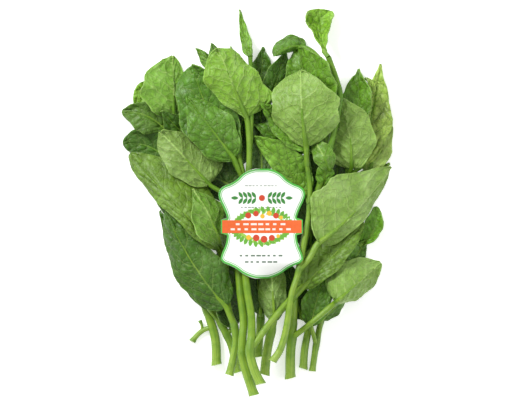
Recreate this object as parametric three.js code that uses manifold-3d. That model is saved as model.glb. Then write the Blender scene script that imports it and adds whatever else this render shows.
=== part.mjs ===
// Malabar spinach: a bunch of cut leafy stems lying on a table, with a printed label card on top.
//
// Millimetres, +Z up. The bunch lies on z = 0 with its cut ends towards -Y and its leaves towards +Y.
// Every stem, leaf and card is drawn in plan, as (x, y) seen from above. The heights are worked out by
// laying the stems down one after another: each one bends as a stiff rod or sheet over what lies there.

import * as THREE from "three";
import { mergeVertices } from "three/addons/utils/BufferGeometryUtils.js";
import Module from "manifold-3d";

// Sizes of the pieces
const BLADE_THICKNESS = 0.9;
const CARD_THICKNESS = 0.7;
const STEM_SIDES = 7;
const PETIOLE_SIDES = 5;
const FLAT_DEPTH = 0.3; // how far a stem that lies on the table is flattened by its own weight
const WIDTH_AT_BASE = 1.7; // half the width of a blade where it meets its petiole
const WIDTH_AT_TIP = 0.6;

// Room that the pieces keep, measured straight up
const BLADE_REACH = 0.6; // half a blade's height where it lies level
const STEEPEST = 3; // most that a slope may add to that height
const GAP = 1.25; // clear height between one leafy stem and the next
const OWN_GAP = 0.8; // clear height between two leaves of the same stem
const JOINT_RADIUS = 9; // round its own base a leaf may touch its stem
const BASE_RISE = 4; // how far over its joint on the stem the petiole holds the base of a leaf
const BASE_DROP = 0.5; // how far below the joint the base may hang, as a share of its distance

// How the pieces settle
const CELL = 1.5; // spacing of the height map
const MAP_LEFT = -120;
const MAP_BOTTOM = -165;
const MAP_COLUMNS = 160;
const MAP_ROWS = 220;
const SETTLE_STEPS = 140;
const SINK_PER_STEP = 0.12;
const BEND_PASSES = { leaf: 4, stem: 14, petiole: 3, card: 40 };

// Outline of a usual blade: its widest place, and how full its two ends are (1 is pointed, 0.4 round).
// Its margin waves up and down, and ripples in and out by a share of its half width. A hidden blade is
// covered by others, so its grid is coarse.
const USUAL_LEAF = {
  mid: null,
  peak: 0.4,
  blunt: 0.95,
  lift: [-4, -4],
  fold: 1.8,
  wave: 2.2,
  waves: 2.3,
  ripple: 0.06,
  ripples: 2.7,
  petiole: 1.7,
  via: null,
  under: false,
  hidden: false,
};
const BASE_FULLNESS = 0.48;
const RIB_END = 0.5; // share of the blade's length that the petiole runs on as a raised rib
const RIB_HIDDEN_END = 0.12; // and of a blade that shows its upper face, where the rib is below
const RIB_TIP_RADIUS = 0.7;
const WAVE_OFFSET = 0.37; // the two margins wave and weave out of step
const GATHERING = 0.6; // how far the rows of a blade gather towards its ends
const LONG_BLADE = { length: 45, rows: 8 };
const MIDDLING_BLADE = { length: 25, rows: 6 };
const SHORT_BLADE_ROWS = 5;
const WIDE_BLADE = { width: 20, columns: 4 };
const NARROW_BLADE_COLUMNS = 2;
const BACK_RIB_STEPS = 2;
const HIDDEN_RIB_STEPS = 1;
const PETIOLE_STEPS = 2;

// The leafy stems, lowest first. A leaf has its root on the stem, its base, its tip, and its half widths
// to the left and right of the rib near the base, in the middle and near the tip. lift is how high its
// left and right margins stand over the rib. back says that the pale underside faces up.
const LEAFY_STEMS = [
  {
    name: "leafy_stem_far_left",
    radii: [3.7, 2.2],
    path: [[-32, -126], [-33, -106], [-38, -88], [-45, -68], [-49, -46], [-52, -25], [-55, -5],
      [-57, 17], [-61, 40], [-65, 59]],
    sprig: { radii: [1.9, 2.0], path: [[-36, -97], [-42, -99], [-47, -103], [-51, -108]] },
    leaves: [
      { name: "left_back", root: [-57, 17], base: [-66, 70], tip: [-93, 90], left: [12, 16, 19],
        right: [12, 13, 14], blunt: 0.4, lift: [5, 4] },
      { name: "left_low", root: [-55, -5], base: [-66, 30], mid: [-85, 43], tip: [-104, 45],
        left: [11, 12, 14], right: [12, 14, 16], blunt: 0.55, lift: [5, 7] },
      { name: "left_curl", root: [-57, 17], base: [-72, 56], mid: [-87, 67], tip: [-105, 69],
        left: [10, 14, 12], right: [8, 10, 10], blunt: 0.55, lift: [-4, 9], fold: 2.4 },
      { name: "left_round", root: [-63, 50], base: [-65, 65], tip: [-66, 113], left: [21, 25, 28],
        right: [9, 10, 12], blunt: 0.6, lift: [-6, 5], back: true, petiole: 2.0 },
    ],
  },
  {
    name: "leafy_stem_left",
    radii: [3.1, 2.1],
    path: [[-16, -132], [-18, -122], [-21, -110], [-28, -95], [-35, -82], [-42, -69], [-48, -52],
      [-52, -33], [-57, -12]],
    leaves: [
      { name: "low_left_inner", root: [-24, -103], base: [-20, -97], tip: [-26, -24], left: [12, 14, 12],
        right: [10, 13, 12], lift: [1, 1], hidden: true },
      { name: "lower_left_back", root: [-28, -95], base: [-38, -82], tip: [-76, -7],
        left: [9, 10, 10], right: [15, 22, 16], lift: [5, 4] },
      { name: "left_under", root: [-48, -52], base: [-52, -29], tip: [-84, 14], left: [5, 5, 6],
        right: [12, 18, 12], lift: [2, 2], hidden: true },
    ],
  },
  {
    name: "leafy_stem_right",
    radii: [3.1, 2.0],
    path: [[35, -129], [36, -115], [39, -99], [43, -82], [48, -64], [53, -43], [59, -22], [63, -2],
      [67, 17]],
    leaves: [
      { name: "low_right_inner", root: [41, -90], base: [34, -90], tip: [20, -42], left: [9, 11, 8],
        right: [9, 10, 8], lift: [1, 1], hidden: true },
      { name: "inner_right", root: [53, -43], base: [41, -46], tip: [40, 50], left: [10, 13, 10],
        right: [10, 12, 10], lift: [1, 1], hidden: true },
      { name: "right_behind", root: [59, -22], base: [56, -18], tip: [64, 42], left: [12, 14, 10],
        right: [10, 13, 10], lift: [1, 1], hidden: true },
      { name: "right_low_tip", root: [62, -10], base: [71, 9], tip: [102, 30], left: [6, 7, 5],
        right: [6, 7, 6], lift: [1, 1] },
      { name: "right_olive", root: [65, 5], base: [86, 22], mid: [92, 48], tip: [98, 78],
        left: [10, 12, 9], right: [11, 13, 11], blunt: 0.7, lift: [5, -7], back: true },
      { name: "right_long", root: [67, 17], base: [82, 30], mid: [88, 68], tip: [95, 107],
        left: [12, 12, 6], right: [12, 16, 9], lift: [6, 4] },
      { name: "right_small_curl", root: [72, 45], base: [84, 78], mid: [88, 88], tip: [83, 96],
        left: [3, 3, 3], right: [3, 3, 3], blunt: 0.6, lift: [2, 2], petiole: 1.2 },
      { name: "right_point", root: [67, 17], base: [77, 60], tip: [78, 103], left: [11, 13, 9],
        right: [9, 10, 9], lift: [8, 8], fold: 1.2 },
      { name: "right_pale", root: [67, 14], base: [72, 26], mid: [70.5, 52], tip: [62, 80],
        left: [21, 22, 16], right: [14, 20, 20], blunt: 0.7, back: true, lift: [-6, -6] },
    ],
  },
  {
    name: "leafy_stem_far_right",
    radii: [2.5, 1.7],
    path: [[42, -131], [45, -111], [49, -92], [54, -78], [60, -64], [67, -51], [72, -38], [77, -28]],
    leaves: [
      { name: "lower_dark", root: [45, -111], base: [41, -95], mid: [45, -77], tip: [51, -57],
        left: [9, 11, 8], right: [9, 11, 9], blunt: 0.7, lift: [5, 5] },
      { name: "lower_dark_back", root: [45, -108], base: [50, -90], tip: [68, -74], left: [3, 4, 4],
        right: [4, 6, 5], lift: [1, -1] },
      { name: "right_notch", root: [67, -51], base: [72, -50], tip: [83, -30], left: [6, 7, 7],
        right: [5, 6, 5], blunt: 0.6, lift: [1, 1] },
      { name: "right_bright", root: [75, -33], base: [79, -33], mid: [90, -21], tip: [91, -4],
        left: [8, 10, 9], right: [3, 6, 7], blunt: 0.5, lift: [6, 5] },
    ],
  },
  {
    name: "leafy_stem_inner",
    radii: [3.3, 2.0],
    path: [[0, -120], [1, -106], [2, -91], [2, -72], [1, -49], [-3, -22], [-8, 5], [-14, 28],
      [-22, 48], [-29, 67]],
    leaves: [
      { name: "low_centre", root: [2, -91], base: [2, -86], tip: [-2, -42], left: [9, 10, 8],
        right: [9, 11, 9], lift: [1, 1], hidden: true },
      { name: "inner_low_left", root: [-8, 5], base: [-14, 10], tip: [-54, 28], left: [13, 16, 12],
        right: [16, 20, 12], lift: [2, 2], hidden: true },
      { name: "inner_mid", root: [-14, 28], base: [-13, 30], tip: [-12, 84], left: [9, 11, 9],
        right: [9, 10, 8], lift: [2, 2], hidden: true },
      { name: "inner_left", root: [-22, 48], base: [-41, 34], tip: [-74, 70], left: [12, 14, 12],
        right: [13, 15, 12], lift: [5, 4] },
      { name: "inner_top", root: [-29, 67], base: [-26, 68], tip: [-31, 117], left: [12, 13, 10],
        right: [12, 12, 9], lift: [4, 4], hidden: true },
    ],
  },
  {
    name: "leafy_stem_middle",
    radii: [3.7, 2.0],
    path: [[5, -133], [7, -115], [10, -100], [12, -85], [11, -68], [9, -46], [8, -22], [6, 5],
      [6, 32], [7, 55], [8, 75]],
    leaves: [
      { name: "inner_centre", root: [6, 5], base: [3, 17], tip: [2, 86], left: [9, 11, 10],
        right: [9, 11, 10], lift: [1, 1], hidden: true },
      { name: "top_dark_left", root: [8, 75], base: [1, 82], mid: [3, 102], tip: [4, 120],
        left: [9, 9, 8], right: [8, 9, 6], lift: [5, 5] },
      { name: "top_dark", root: [8, 75], base: [9, 78], mid: [15, 96], tip: [21, 116],
        left: [8, 10, 8], right: [9, 11, 9], lift: [4, 5] },
      { name: "hanging", root: [11, -100], base: [13, -91], mid: [11, -65], tip: [9, -28],
        left: [9, 11, 11], right: [9, 11, 11], back: true, lift: [-5, -5] },
    ],
  },
  {
    name: "leafy_stem_lower_left",
    radii: [3.1, 2.3],
    path: [[-22, -133], [-19, -120], [-17, -107], [-18, -96], [-22, -85], [-24, -72], [-25, -56],
      [-25, -43]],
    leaves: [
      { name: "lower_left", root: [-18, -96], base: [-25, -80], mid: [-50, -47], tip: [-71, -8],
        left: [16, 17, 15], right: [20, 19, 17], blunt: 0.7, lift: [-8, -7], petiole: 2.2 },
      { name: "left_big", root: [-25, -50], base: [-31, -36], tip: [-99, 37], left: [8, 9, 16],
        right: [23, 25, 22], blunt: 0.55, lift: [-7, 2], wave: 2, petiole: 2.1 },
      { name: "left_inner", root: [-25, -45], base: [-28, -34], mid: [-37, -12], tip: [-50, 10],
        left: [10, 14, 13], right: [13, 15, 13], lift: [3, -5], back: true, petiole: 1.9 },
    ],
  },
  {
    name: "leafy_stem_upper_right",
    radii: [3.9, 1.9],
    path: [[25, -136], [25, -119], [26, -105], [27, -89], [28, -72], [32, -52], [36, -29], [42, -6],
      [49, 17], [55, 40], [60, 63], [63, 80], [59, 98], [54, 111]],
    leaves: [
      { name: "lower_right", root: [24, -105], via: [41, -93], base: [60, -77], mid: [76, -63],
        tip: [95, -47], left: [22, 22, 20], right: [6, 11, 15], blunt: 0.6, lift: [-7, -10],
        back: true, petiole: 2.2, fold: 1.4 },
      { name: "centre_small", root: [55, 40], base: [35, 39], tip: [-3, 60], left: [7, 8, 7],
        right: [8, 11, 9], lift: [1, 1] },
      { name: "right_tiny", root: [49, 17], base: [51, 12], tip: [52, 33], left: [6, 7, 6],
        right: [6, 7, 6], lift: [1, 1] },
      { name: "right_inner", root: [52, 28], base: [55, 25], tip: [43, 50], left: [7, 8, 8],
        right: [8, 9, 8], back: true, lift: [-1, -1] },
      { name: "top_right_dark", root: [60, 63], base: [43, 64], mid: [37, 92], tip: [31, 119],
        left: [17, 18, 16], right: [18, 22, 22], blunt: 0.6, lift: [6, 5] },
      { name: "top_nodding", root: [63, 80], via: [51, 105], base: [36, 119], mid: [25, 120],
        tip: [12, 113], left: [3, 4, 4], right: [7, 9, 9], blunt: 0.45, lift: [-7, -7], fold: 2.6,
        petiole: 2.3 },
      { name: "top_cone", root: [54, 111], base: [51, 115], mid: [48.5, 132], tip: [47, 149],
        left: [9, 8, 15], right: [9, 8, 15], peak: 0.72, blunt: 0.35, lift: [9, 10], fold: 2.0 },
    ],
  },
  {
    name: "leafy_stem_centre",
    radii: [3.7, 1.8],
    path: [[-3, -148], [-8, -133], [-12, -119], [-12, -107], [-11, -92], [-13, -74], [-15, -52],
      [-15, -29], [-12, -2], [-11, 17], [-15, 36], [-18, 59], [-21, 82], [-23, 102]],
    leaves: [
      { name: "crinkled", root: [-12, -2], base: [-38, 14], tip: [-75, 54], left: [10, 16, 17],
        right: [31, 22, 16], blunt: 0.55, back: true, lift: [-4, -6], wave: 2.4 },
      { name: "top_left_tip", root: [-21, 82], base: [-30, 99], tip: [-48, 119], left: [4, 5, 4],
        right: [4, 5, 4], lift: [-3, -3] },
      { name: "top_left_small", root: [-22, 90], base: [-25, 90], tip: [-36, 123], left: [8, 9, 7],
        right: [7, 8, 6], lift: [2, 2] },
      { name: "top_small", root: [-21, 82], base: [-15, 84], tip: [-21, 120], left: [8, 8, 6],
        right: [8, 9, 7], lift: [2, 2] },
      { name: "top_left_dark", root: [-11, 17], base: [-19, 33], mid: [-37, 67], tip: [-51, 105],
        left: [16, 24, 27], right: [17, 19, 22], blunt: 0.5, lift: [-6, 6], wave: 2.4, petiole: 2.1 },
      { name: "top_left_mid", root: [-11, 17], base: [-19, 34], tip: [-55, 81], left: [15, 18, 16],
        right: [14, 18, 15], blunt: 0.9, lift: [-4, -5], petiole: 1.9 },
    ],
  },
  {
    name: "leafy_stem_upper",
    radii: [3.7, 1.5],
    path: [[2, -139], [-3, -128], [-6, -116], [-5, -102], [-5, -89], [-8, -70], [-10, -53], [-9, -25],
      [-8, 2], [-7, 25], [-6, 48], [-5, 71], [-5, 94], [-6, 112]],
    leaves: [
      { name: "top_twisted", root: [-6, 112], base: [-6, 113], mid: [-11, 130], tip: [-14, 149],
        left: [6, 3, 4], right: [5, 4, 2], lift: [-4, 4], fold: 1.4 },
      { name: "right_low", root: [-6, -113], via: [9, -93], base: [34, -66], tip: [82, -17],
        left: [16, 18, 14], right: [8, 10, 9], blunt: 0.7, lift: [5, -6], petiole: 2.6 },
      { name: "top_bright", root: [-7, 25], via: [-7, 48], base: [-9, 65], tip: [-31, 118],
        left: [4, 18, 30], right: [36, 21, 26], blunt: 0.62, back: true, lift: [-8, -8],
        petiole: 2.1 },
    ],
  },
  {
    name: "leafy_stem_top",
    radii: [2.9, 1.9],
    path: [[11, -122], [16, -115], [20, -104], [23, -89], [26, -70], [31, -54], [35, -33], [39, -10],
      [40, 9], [38, 28]],
    leaves: [
      { name: "centre_bright", root: [39, -2], base: [37, 6], mid: [19, 29], tip: [-3, 51],
        left: [9, 9, 8], right: [16, 16, 12], blunt: 0.7, lift: [3, 5], under: true },
      { name: "centre_fold", root: [39, 21], base: [36, 40], tip: [2, 76], left: [7, 9, 7],
        right: [12, 15, 12], lift: [-5, 1] },
      { name: "right_big", root: [31, -52], via: [39, -44], base: [47, -31], mid: [74, -8],
        tip: [103, 27], left: [27, 33, 30], right: [9, 10, 9], blunt: 0.75, back: true,
        lift: [-7, -9], petiole: 2.3, wave: 2.4 },
      { name: "centre_pale", root: [38, 28], base: [37, 43], mid: [33.5, 72], tip: [33, 101],
        left: [10, 24, 28], right: [22, 30, 29], blunt: 0.6, back: true, lift: [-8, -8],
        petiole: 2.3 },
    ],
  },
];

// The card lies along +Y: its half widths at the places along its axis, both from its lower edge. The
// wide part across its waist is the ribbon of its print, which is cut out with it.
const CARD = {
  axis: 3,
  bottom: -58.5,
  stations: [[0, 5], [1.2, 9], [3.8, 14.6], [7.7, 20], [10, 24.6], [12, 29.4], [15.2, 31.6],
    [19.2, 30.6], [23.8, 28.6], [28.5, 27.2], [33.2, 26.7], [34.4, 31.4], [39.6, 31.4],
    [44.9, 31.4], [46.1, 26.8], [50, 27.8], [54.7, 29.8], [59.3, 32], [63.9, 33.3], [67.7, 32.4],
    [70.6, 29.2], [72.6, 24.2], [75.6, 19.4], [80.1, 14.6], [82.6, 10], [84, 5]],
  columns: 4,
};

const LEAF_FINISH = { color: 0x5f9434, roughness: 0.42, metalness: 0 };
const CARD_FINISH = { color: 0xf4f5ee, roughness: 0.35, metalness: 0 };

// The height map

function newMap(height) {
  return new Float64Array(MAP_COLUMNS * MAP_ROWS).fill(height);
}

function cellAt(column, row) {
  return row * MAP_COLUMNS + column;
}

function columnOf(x) {
  return Math.min(MAP_COLUMNS - 1, Math.max(0, Math.floor((x - MAP_LEFT) / CELL)));
}

function rowOf(y) {
  return Math.min(MAP_ROWS - 1, Math.max(0, Math.floor((y - MAP_BOTTOM) / CELL)));
}

function cellCentre(column, row) {
  return [MAP_LEFT + (column + 0.5) * CELL, MAP_BOTTOM + (row + 0.5) * CELL];
}

// Each cell takes the highest of itself and its eight neighbours, so nothing passes too close beside.
function widened(map) {
  const wide = Float64Array.from(map);
  for (let row = 1; row < MAP_ROWS - 1; row++) {
    for (let column = 1; column < MAP_COLUMNS - 1; column++) {
      let highest = map[cellAt(column, row)];
      for (let dy = -1; dy <= 1; dy++) {
        for (let dx = -1; dx <= 1; dx++) {
          highest = Math.max(highest, map[cellAt(column + dx, row + dy)]);
        }
      }
      wide[cellAt(column, row)] = highest;
    }
  }
  return wide;
}

// Plans: points seen from above, their heights at rest, and what joins them

function distance(a, b) {
  return Math.hypot(a[0] - b[0], a[1] - b[1]);
}

function ribOf(leaf) {
  const middle = leaf.mid ?? [(leaf.base[0] + leaf.tip[0]) / 2, (leaf.base[1] + leaf.tip[1]) / 2];
  const pull = [0, 1].map((k) => 2 * middle[k] - (leaf.base[k] + leaf.tip[k]) / 2);
  const point = (t) => [0, 1].map(
    (k) => (1 - t) ** 2 * leaf.base[k] + 2 * t * (1 - t) * pull[k] + t * t * leaf.tip[k],
  );
  const direction = (t) => {
    const run = [0, 1].map((k) => (1 - t) * (pull[k] - leaf.base[k]) + t * (leaf.tip[k] - pull[k]));
    const length = Math.hypot(run[0], run[1]);
    return [run[0] / length, run[1] / length];
  };
  return { point, direction };
}

function outline(leaf, t) {
  const turned = t ** (Math.log(0.5) / Math.log(leaf.peak));
  const fullness = BASE_FULLNESS + (leaf.blunt - BASE_FULLNESS) * t;
  return Math.max(0, Math.sin(Math.PI * turned)) ** fullness;
}

// A smooth curve through three widths, at the base, in the middle and at the tip
function throughThree(widths, t) {
  return widths[0] * (1 - t) * (1 - 2 * t) + 4 * widths[1] * t * (1 - t) + widths[2] * t * (2 * t - 1);
}

// A margin weaves in and out a little on its way from the base to the tip.
function weaving(leaf, t, side) {
  const step = leaf.ripples * t + (side > 0 ? 0 : WAVE_OFFSET) + 2 * leaf.phase;
  return 1 + leaf.ripple * Math.sin(2 * Math.PI * step);
}

function halfWidth(leaf, t, side) {
  const end = WIDTH_AT_BASE + (WIDTH_AT_TIP - WIDTH_AT_BASE) * t;
  const full = throughThree(side > 0 ? leaf.left : leaf.right, t) * outline(leaf, t);
  return Math.max(end, full * weaving(leaf, t, side));
}

// The plan of a blade: t runs from its base to its tip, side from -1 at the right margin to 1 at the left
function bladePoint(leaf, t, side) {
  const rib = ribOf(leaf);
  const [x, y] = rib.point(t);
  const [dx, dy] = rib.direction(t);
  const out = halfWidth(leaf, t, side) * side;
  return [x - dy * out, y + dx * out];
}

function bladeRest(leaf, t, side) {
  const margin = side > 0 ? leaf.lift[0] : leaf.lift[1];
  const cup = margin * Math.abs(side) ** leaf.fold * outline(leaf, t);
  const step = leaf.waves * t + (side > 0 ? 0 : WAVE_OFFSET) + leaf.phase;
  const wave = leaf.wave * side * side * outline(leaf, t) * Math.sin(2 * Math.PI * step);
  return cup + wave;
}

function ribRadius(leaf, t) {
  return leaf.petiole + (RIB_TIP_RADIUS - leaf.petiole) * Math.min(1, t / RIB_END);
}

// Rows gather towards the ends of a blade, where its outline turns.
function rowPlace(i, rows) {
  const even = i / rows;
  const gathered = (1 - Math.cos(Math.PI * even)) / 2;
  return (1 - GATHERING) * even + GATHERING * gathered;
}

function gridJoints(rows, columns) {
  const at = (i, j) => i * (columns + 1) + j;
  const triangles = [];
  const lines = [];
  for (let i = 0; i < rows; i++) {
    for (let j = 0; j < columns; j++) {
      triangles.push([at(i, j), at(i + 1, j), at(i + 1, j + 1)]);
      triangles.push([at(i, j), at(i + 1, j + 1), at(i, j + 1)]);
    }
  }
  for (let i = 0; i <= rows; i++) {
    lines.push(Array.from({ length: columns + 1 }, (_, j) => at(i, j)));
  }
  for (let j = 0; j <= columns; j++) {
    lines.push(Array.from({ length: rows + 1 }, (_, i) => at(i, j)));
  }
  return { triangles, lines };
}

// Three neighbours in a line bend like a rod: share is where the middle one stands between the others.
function bendsOf(points, lines) {
  const bends = [];
  for (const line of lines) {
    for (let k = 1; k < line.length - 1; k++) {
      const [a, b, c] = [line[k - 1], line[k], line[k + 1]];
      const before = distance(points[a], points[b]);
      const after = distance(points[b], points[c]);
      bends.push({ a, b, c, share: before / (before + after) });
    }
  }
  return bends;
}

function coveredCells(points, triangle) {
  const [a, b, c] = triangle.map((v) => points[v]);
  const area = (b[0] - a[0]) * (c[1] - a[1]) - (c[0] - a[0]) * (b[1] - a[1]);
  const cells = [];
  if (area === 0) {
    return cells;
  }
  const xs = [a[0], b[0], c[0]];
  const ys = [a[1], b[1], c[1]];
  for (let row = rowOf(Math.min(...ys)); row <= rowOf(Math.max(...ys)); row++) {
    for (let column = columnOf(Math.min(...xs)); column <= columnOf(Math.max(...xs)); column++) {
      const [x, y] = cellCentre(column, row);
      const wb = ((x - a[0]) * (c[1] - a[1]) - (c[0] - a[0]) * (y - a[1])) / area;
      const wc = ((b[0] - a[0]) * (y - a[1]) - (x - a[0]) * (b[1] - a[1])) / area;
      const wa = 1 - wb - wc;
      if (wa >= 0 && wb >= 0 && wc >= 0) {
        cells.push({ cell: cellAt(column, row), x, y, weights: [wa, wb, wc] });
      }
    }
  }
  return cells;
}

// A sample is one cell under a piece: which points carry it, with what share, and the half height there.
function sheetSamples(points, triangles, halfHeight) {
  const samples = [];
  triangles.forEach((triangle, facet) => {
    for (const { cell, x, y, weights } of coveredCells(points, triangle)) {
      const half = halfHeight(triangle, weights);
      samples.push({ cell, x, y, carriers: triangle, weights, half, facet });
    }
  });
  return samples;
}

function rodSamples(points, radii) {
  const samples = [];
  for (let k = 0; k + 1 < points.length; k++) {
    const [a, b] = [points[k], points[k + 1]];
    const reach = Math.max(radii[k], radii[k + 1]);
    const length = distance(a, b);
    const rows = [rowOf(Math.min(a[1], b[1]) - reach), rowOf(Math.max(a[1], b[1]) + reach)];
    const columns = [columnOf(Math.min(a[0], b[0]) - reach), columnOf(Math.max(a[0], b[0]) + reach)];
    for (let row = rows[0]; row <= rows[1]; row++) {
      for (let column = columns[0]; column <= columns[1]; column++) {
        const [x, y] = cellCentre(column, row);
        const run = ((x - a[0]) * (b[0] - a[0]) + (y - a[1]) * (b[1] - a[1])) / (length * length);
        const share = Math.min(1, Math.max(0, run));
        const aside = Math.hypot(x - a[0] - share * (b[0] - a[0]), y - a[1] - share * (b[1] - a[1]));
        const radius = radii[k] + share * (radii[k + 1] - radii[k]);
        if (aside < radius) {
          const half = Math.sqrt(radius * radius - aside * aside);
          samples.push({ cell: cellAt(column, row), x, y, carriers: [k, k + 1],
            weights: [1 - share, share], half, facet: -1 });
        }
      }
    }
  }
  return samples;
}

function bladeGrid(leaf) {
  const length = distance(leaf.base, leaf.tip);
  const width = Math.max(...leaf.left) + Math.max(...leaf.right);
  const shorter = length > MIDDLING_BLADE.length ? MIDDLING_BLADE.rows : SHORT_BLADE_ROWS;
  const wide = width > WIDE_BLADE.width && !leaf.hidden;
  return {
    rows: length > LONG_BLADE.length && !leaf.hidden ? LONG_BLADE.rows : shorter,
    columns: wide ? WIDE_BLADE.columns : NARROW_BLADE_COLUMNS,
  };
}

function bladePlan(leaf) {
  const { rows, columns } = bladeGrid(leaf);
  const points = [];
  const rest = [];
  const places = [];
  for (let i = 0; i <= rows; i++) {
    for (let j = 0; j <= columns; j++) {
      const t = rowPlace(i, rows);
      const side = (2 * j) / columns - 1;
      places.push([t, side]);
      points.push(bladePoint(leaf, t, side));
      rest.push(bladeRest(leaf, t, side));
    }
  }
  const { triangles, lines } = gridJoints(rows, columns);
  const halfHeight = (triangle, weights) => {
    const t = triangle.reduce((sum, v, k) => sum + weights[k] * places[v][0], 0);
    const side = triangle.reduce((sum, v, k) => sum + weights[k] * places[v][1], 0);
    const aside = Math.abs(side) * halfWidth(leaf, t, side);
    const onRib = aside < ribRadius(leaf, t) + CELL / 2;
    return onRib ? Math.max(BLADE_REACH, ribRadius(leaf, t)) : BLADE_REACH;
  };
  return {
    kind: "leaf", rows, columns, points, rest, triangles,
    bends: bendsOf(points, lines),
    samples: sheetSamples(points, triangles, halfHeight),
  };
}

function rodPlan(kind, points, radii) {
  const line = points.map((_, k) => k);
  return {
    kind, points, radii,
    rest: points.map(() => 0),
    bends: bendsOf(points, [line]),
    samples: rodSamples(points, radii),
  };
}

function cardPlan() {
  const { stations, columns } = CARD;
  const points = [];
  for (const [along, half] of stations) {
    for (let j = 0; j <= columns; j++) {
      const side = (2 * j) / columns - 1;
      points.push([CARD.axis - side * half, CARD.bottom + along]);
    }
  }
  const { triangles, lines } = gridJoints(stations.length - 1, columns);
  return {
    kind: "card", rows: stations.length - 1, columns, points, triangles,
    rest: points.map(() => 0),
    bends: bendsOf(points, lines),
    samples: sheetSamples(points, triangles, () => BLADE_REACH),
  };
}

// Settling: a piece sinks, springs back towards its own shape, and is pushed up off what lies under it

function heightOver(sample, heights) {
  return sample.carriers.reduce((sum, v, k) => sum + sample.weights[k] * heights[v], 0);
}

// A sloping sheet is taller than a level one: by how much, for each of its triangles
function slopeFactors(plan, heights) {
  if (!plan.triangles) {
    return null;
  }
  return plan.triangles.map(([a, b, c]) => {
    const [p, q, r] = [plan.points[a], plan.points[b], plan.points[c]];
    const area = (q[0] - p[0]) * (r[1] - p[1]) - (r[0] - p[0]) * (q[1] - p[1]);
    const [rise, climb] = [heights[b] - heights[a], heights[c] - heights[a]];
    const slopeX = (rise * (r[1] - p[1]) - climb * (q[1] - p[1])) / area;
    const slopeY = (climb * (q[0] - p[0]) - rise * (r[0] - p[0])) / area;
    return Math.min(STEEPEST, Math.sqrt(1 + slopeX * slopeX + slopeY * slopeY));
  });
}

function halfOf(sample, factors) {
  return factors ? sample.half * factors[sample.facet] : sample.half;
}

function spring(plan, lift) {
  for (let pass = 0; pass < BEND_PASSES[plan.kind]; pass++) {
    const change = new Float64Array(lift.length);
    const count = new Float64Array(lift.length);
    for (const { a, b, c, share } of plan.bends) {
      const bend = lift[b] - (1 - share) * lift[a] - share * lift[c];
      const step = bend / (1 + share * share + (1 - share) ** 2);
      change[b] -= step;
      change[a] += step * (1 - share);
      change[c] += step * share;
      [a, b, c].forEach((v) => {
        count[v] += 1;
      });
    }
    for (let v = 0; v < lift.length; v++) {
      lift[v] += count[v] > 0 ? change[v] / count[v] : 0;
    }
  }
}

function pushUp(plan, lift, floors) {
  const heights = plan.rest.map((rest, v) => rest + lift[v]);
  const factors = slopeFactors(plan, heights);
  const push = new Float64Array(lift.length);
  plan.samples.forEach((sample, n) => {
    const short = floors[n] + halfOf(sample, factors) - heightOver(sample, heights);
    if (short > 0) {
      const sum = sample.weights.reduce((total, weight) => total + weight * weight, 0);
      sample.carriers.forEach((v, k) => {
        push[v] = Math.max(push[v], (short * sample.weights[k]) / sum);
      });
    }
  });
  for (let v = 0; v < lift.length; v++) {
    lift[v] += push[v];
  }
}

// floors holds, for each sample, the lowest height that the piece's underside may have there. pins fixes
// the heights of some points, and bounds keeps others between two heights where the floors let it.
function settle(plan, floors, { pins = [], bounds = [] } = {}) {
  const lift = new Float64Array(plan.rest.length);
  const hold = () => {
    pins.forEach(([v, height]) => {
      lift[v] = height - plan.rest[v];
    });
    bounds.forEach(([v, low, high]) => {
      lift[v] = Math.min(Math.max(lift[v], low - plan.rest[v]), high - plan.rest[v]);
    });
  };
  hold();
  pushUp(plan, lift, floors);
  for (let step = 0; step < SETTLE_STEPS; step++) {
    for (let v = 0; v < lift.length; v++) {
      lift[v] -= SINK_PER_STEP;
    }
    hold();
    spring(plan, lift);
    hold();
    pushUp(plan, lift, floors);
  }
  plan.heights = plan.rest.map((rest, v) => rest + lift[v]);
}

function floorsFor(plan, below, own, base) {
  return plan.samples.map(({ cell, x, y }) => {
    const nearJoint = base && distance([x, y], base) < JOINT_RADIUS;
    return nearJoint ? below[cell] + GAP : Math.max(below[cell] + GAP, own[cell] + OWN_GAP);
  });
}

function addTops(map, plan) {
  const factors = slopeFactors(plan, plan.heights);
  for (const sample of plan.samples) {
    const top = heightOver(sample, plan.heights) + halfOf(sample, factors);
    map[sample.cell] = Math.max(map[sample.cell], top);
  }
}

// Where along a rod a plan point lies, and the rod's height there
function rodHeight(rod, place) {
  let best = { aside: Infinity, height: 0 };
  for (let k = 0; k + 1 < rod.points.length; k++) {
    const [a, b] = [rod.points[k], rod.points[k + 1]];
    const length = distance(a, b);
    const run = ((place[0] - a[0]) * (b[0] - a[0]) + (place[1] - a[1]) * (b[1] - a[1])) / length ** 2;
    const share = Math.min(1, Math.max(0, run));
    const at = [a[0] + share * (b[0] - a[0]), a[1] + share * (b[1] - a[1])];
    const aside = distance(place, at);
    if (aside < best.aside) {
      best = { aside, at, height: rod.heights[k] + share * (rod.heights[k + 1] - rod.heights[k]) };
    }
  }
  return best;
}

function petiolePlan(leaf, blade, stem, below) {
  const start = rodHeight(stem, leaf.root);
  const middle = leaf.via ?? [(start.at[0] + leaf.base[0]) / 2, (start.at[1] + leaf.base[1]) / 2];
  const curve = ribOf({ base: start.at, mid: middle, tip: leaf.base });
  const points = [];
  for (let k = 0; k <= PETIOLE_STEPS; k++) {
    points.push(curve.point(k / PETIOLE_STEPS));
  }
  const plan = rodPlan("petiole", points, points.map(() => leaf.petiole));
  const baseColumn = blade.columns / 2;
  const pins = [[0, start.height], [PETIOLE_STEPS, blade.heights[baseColumn]]];
  settle(plan, plan.samples.map(({ cell }) => below[cell] + GAP), { pins });
  return plan;
}

function taper(radii, points) {
  return points.map((_, k) => radii[0] + ((radii[1] - radii[0]) * k) / (points.length - 1));
}

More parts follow.
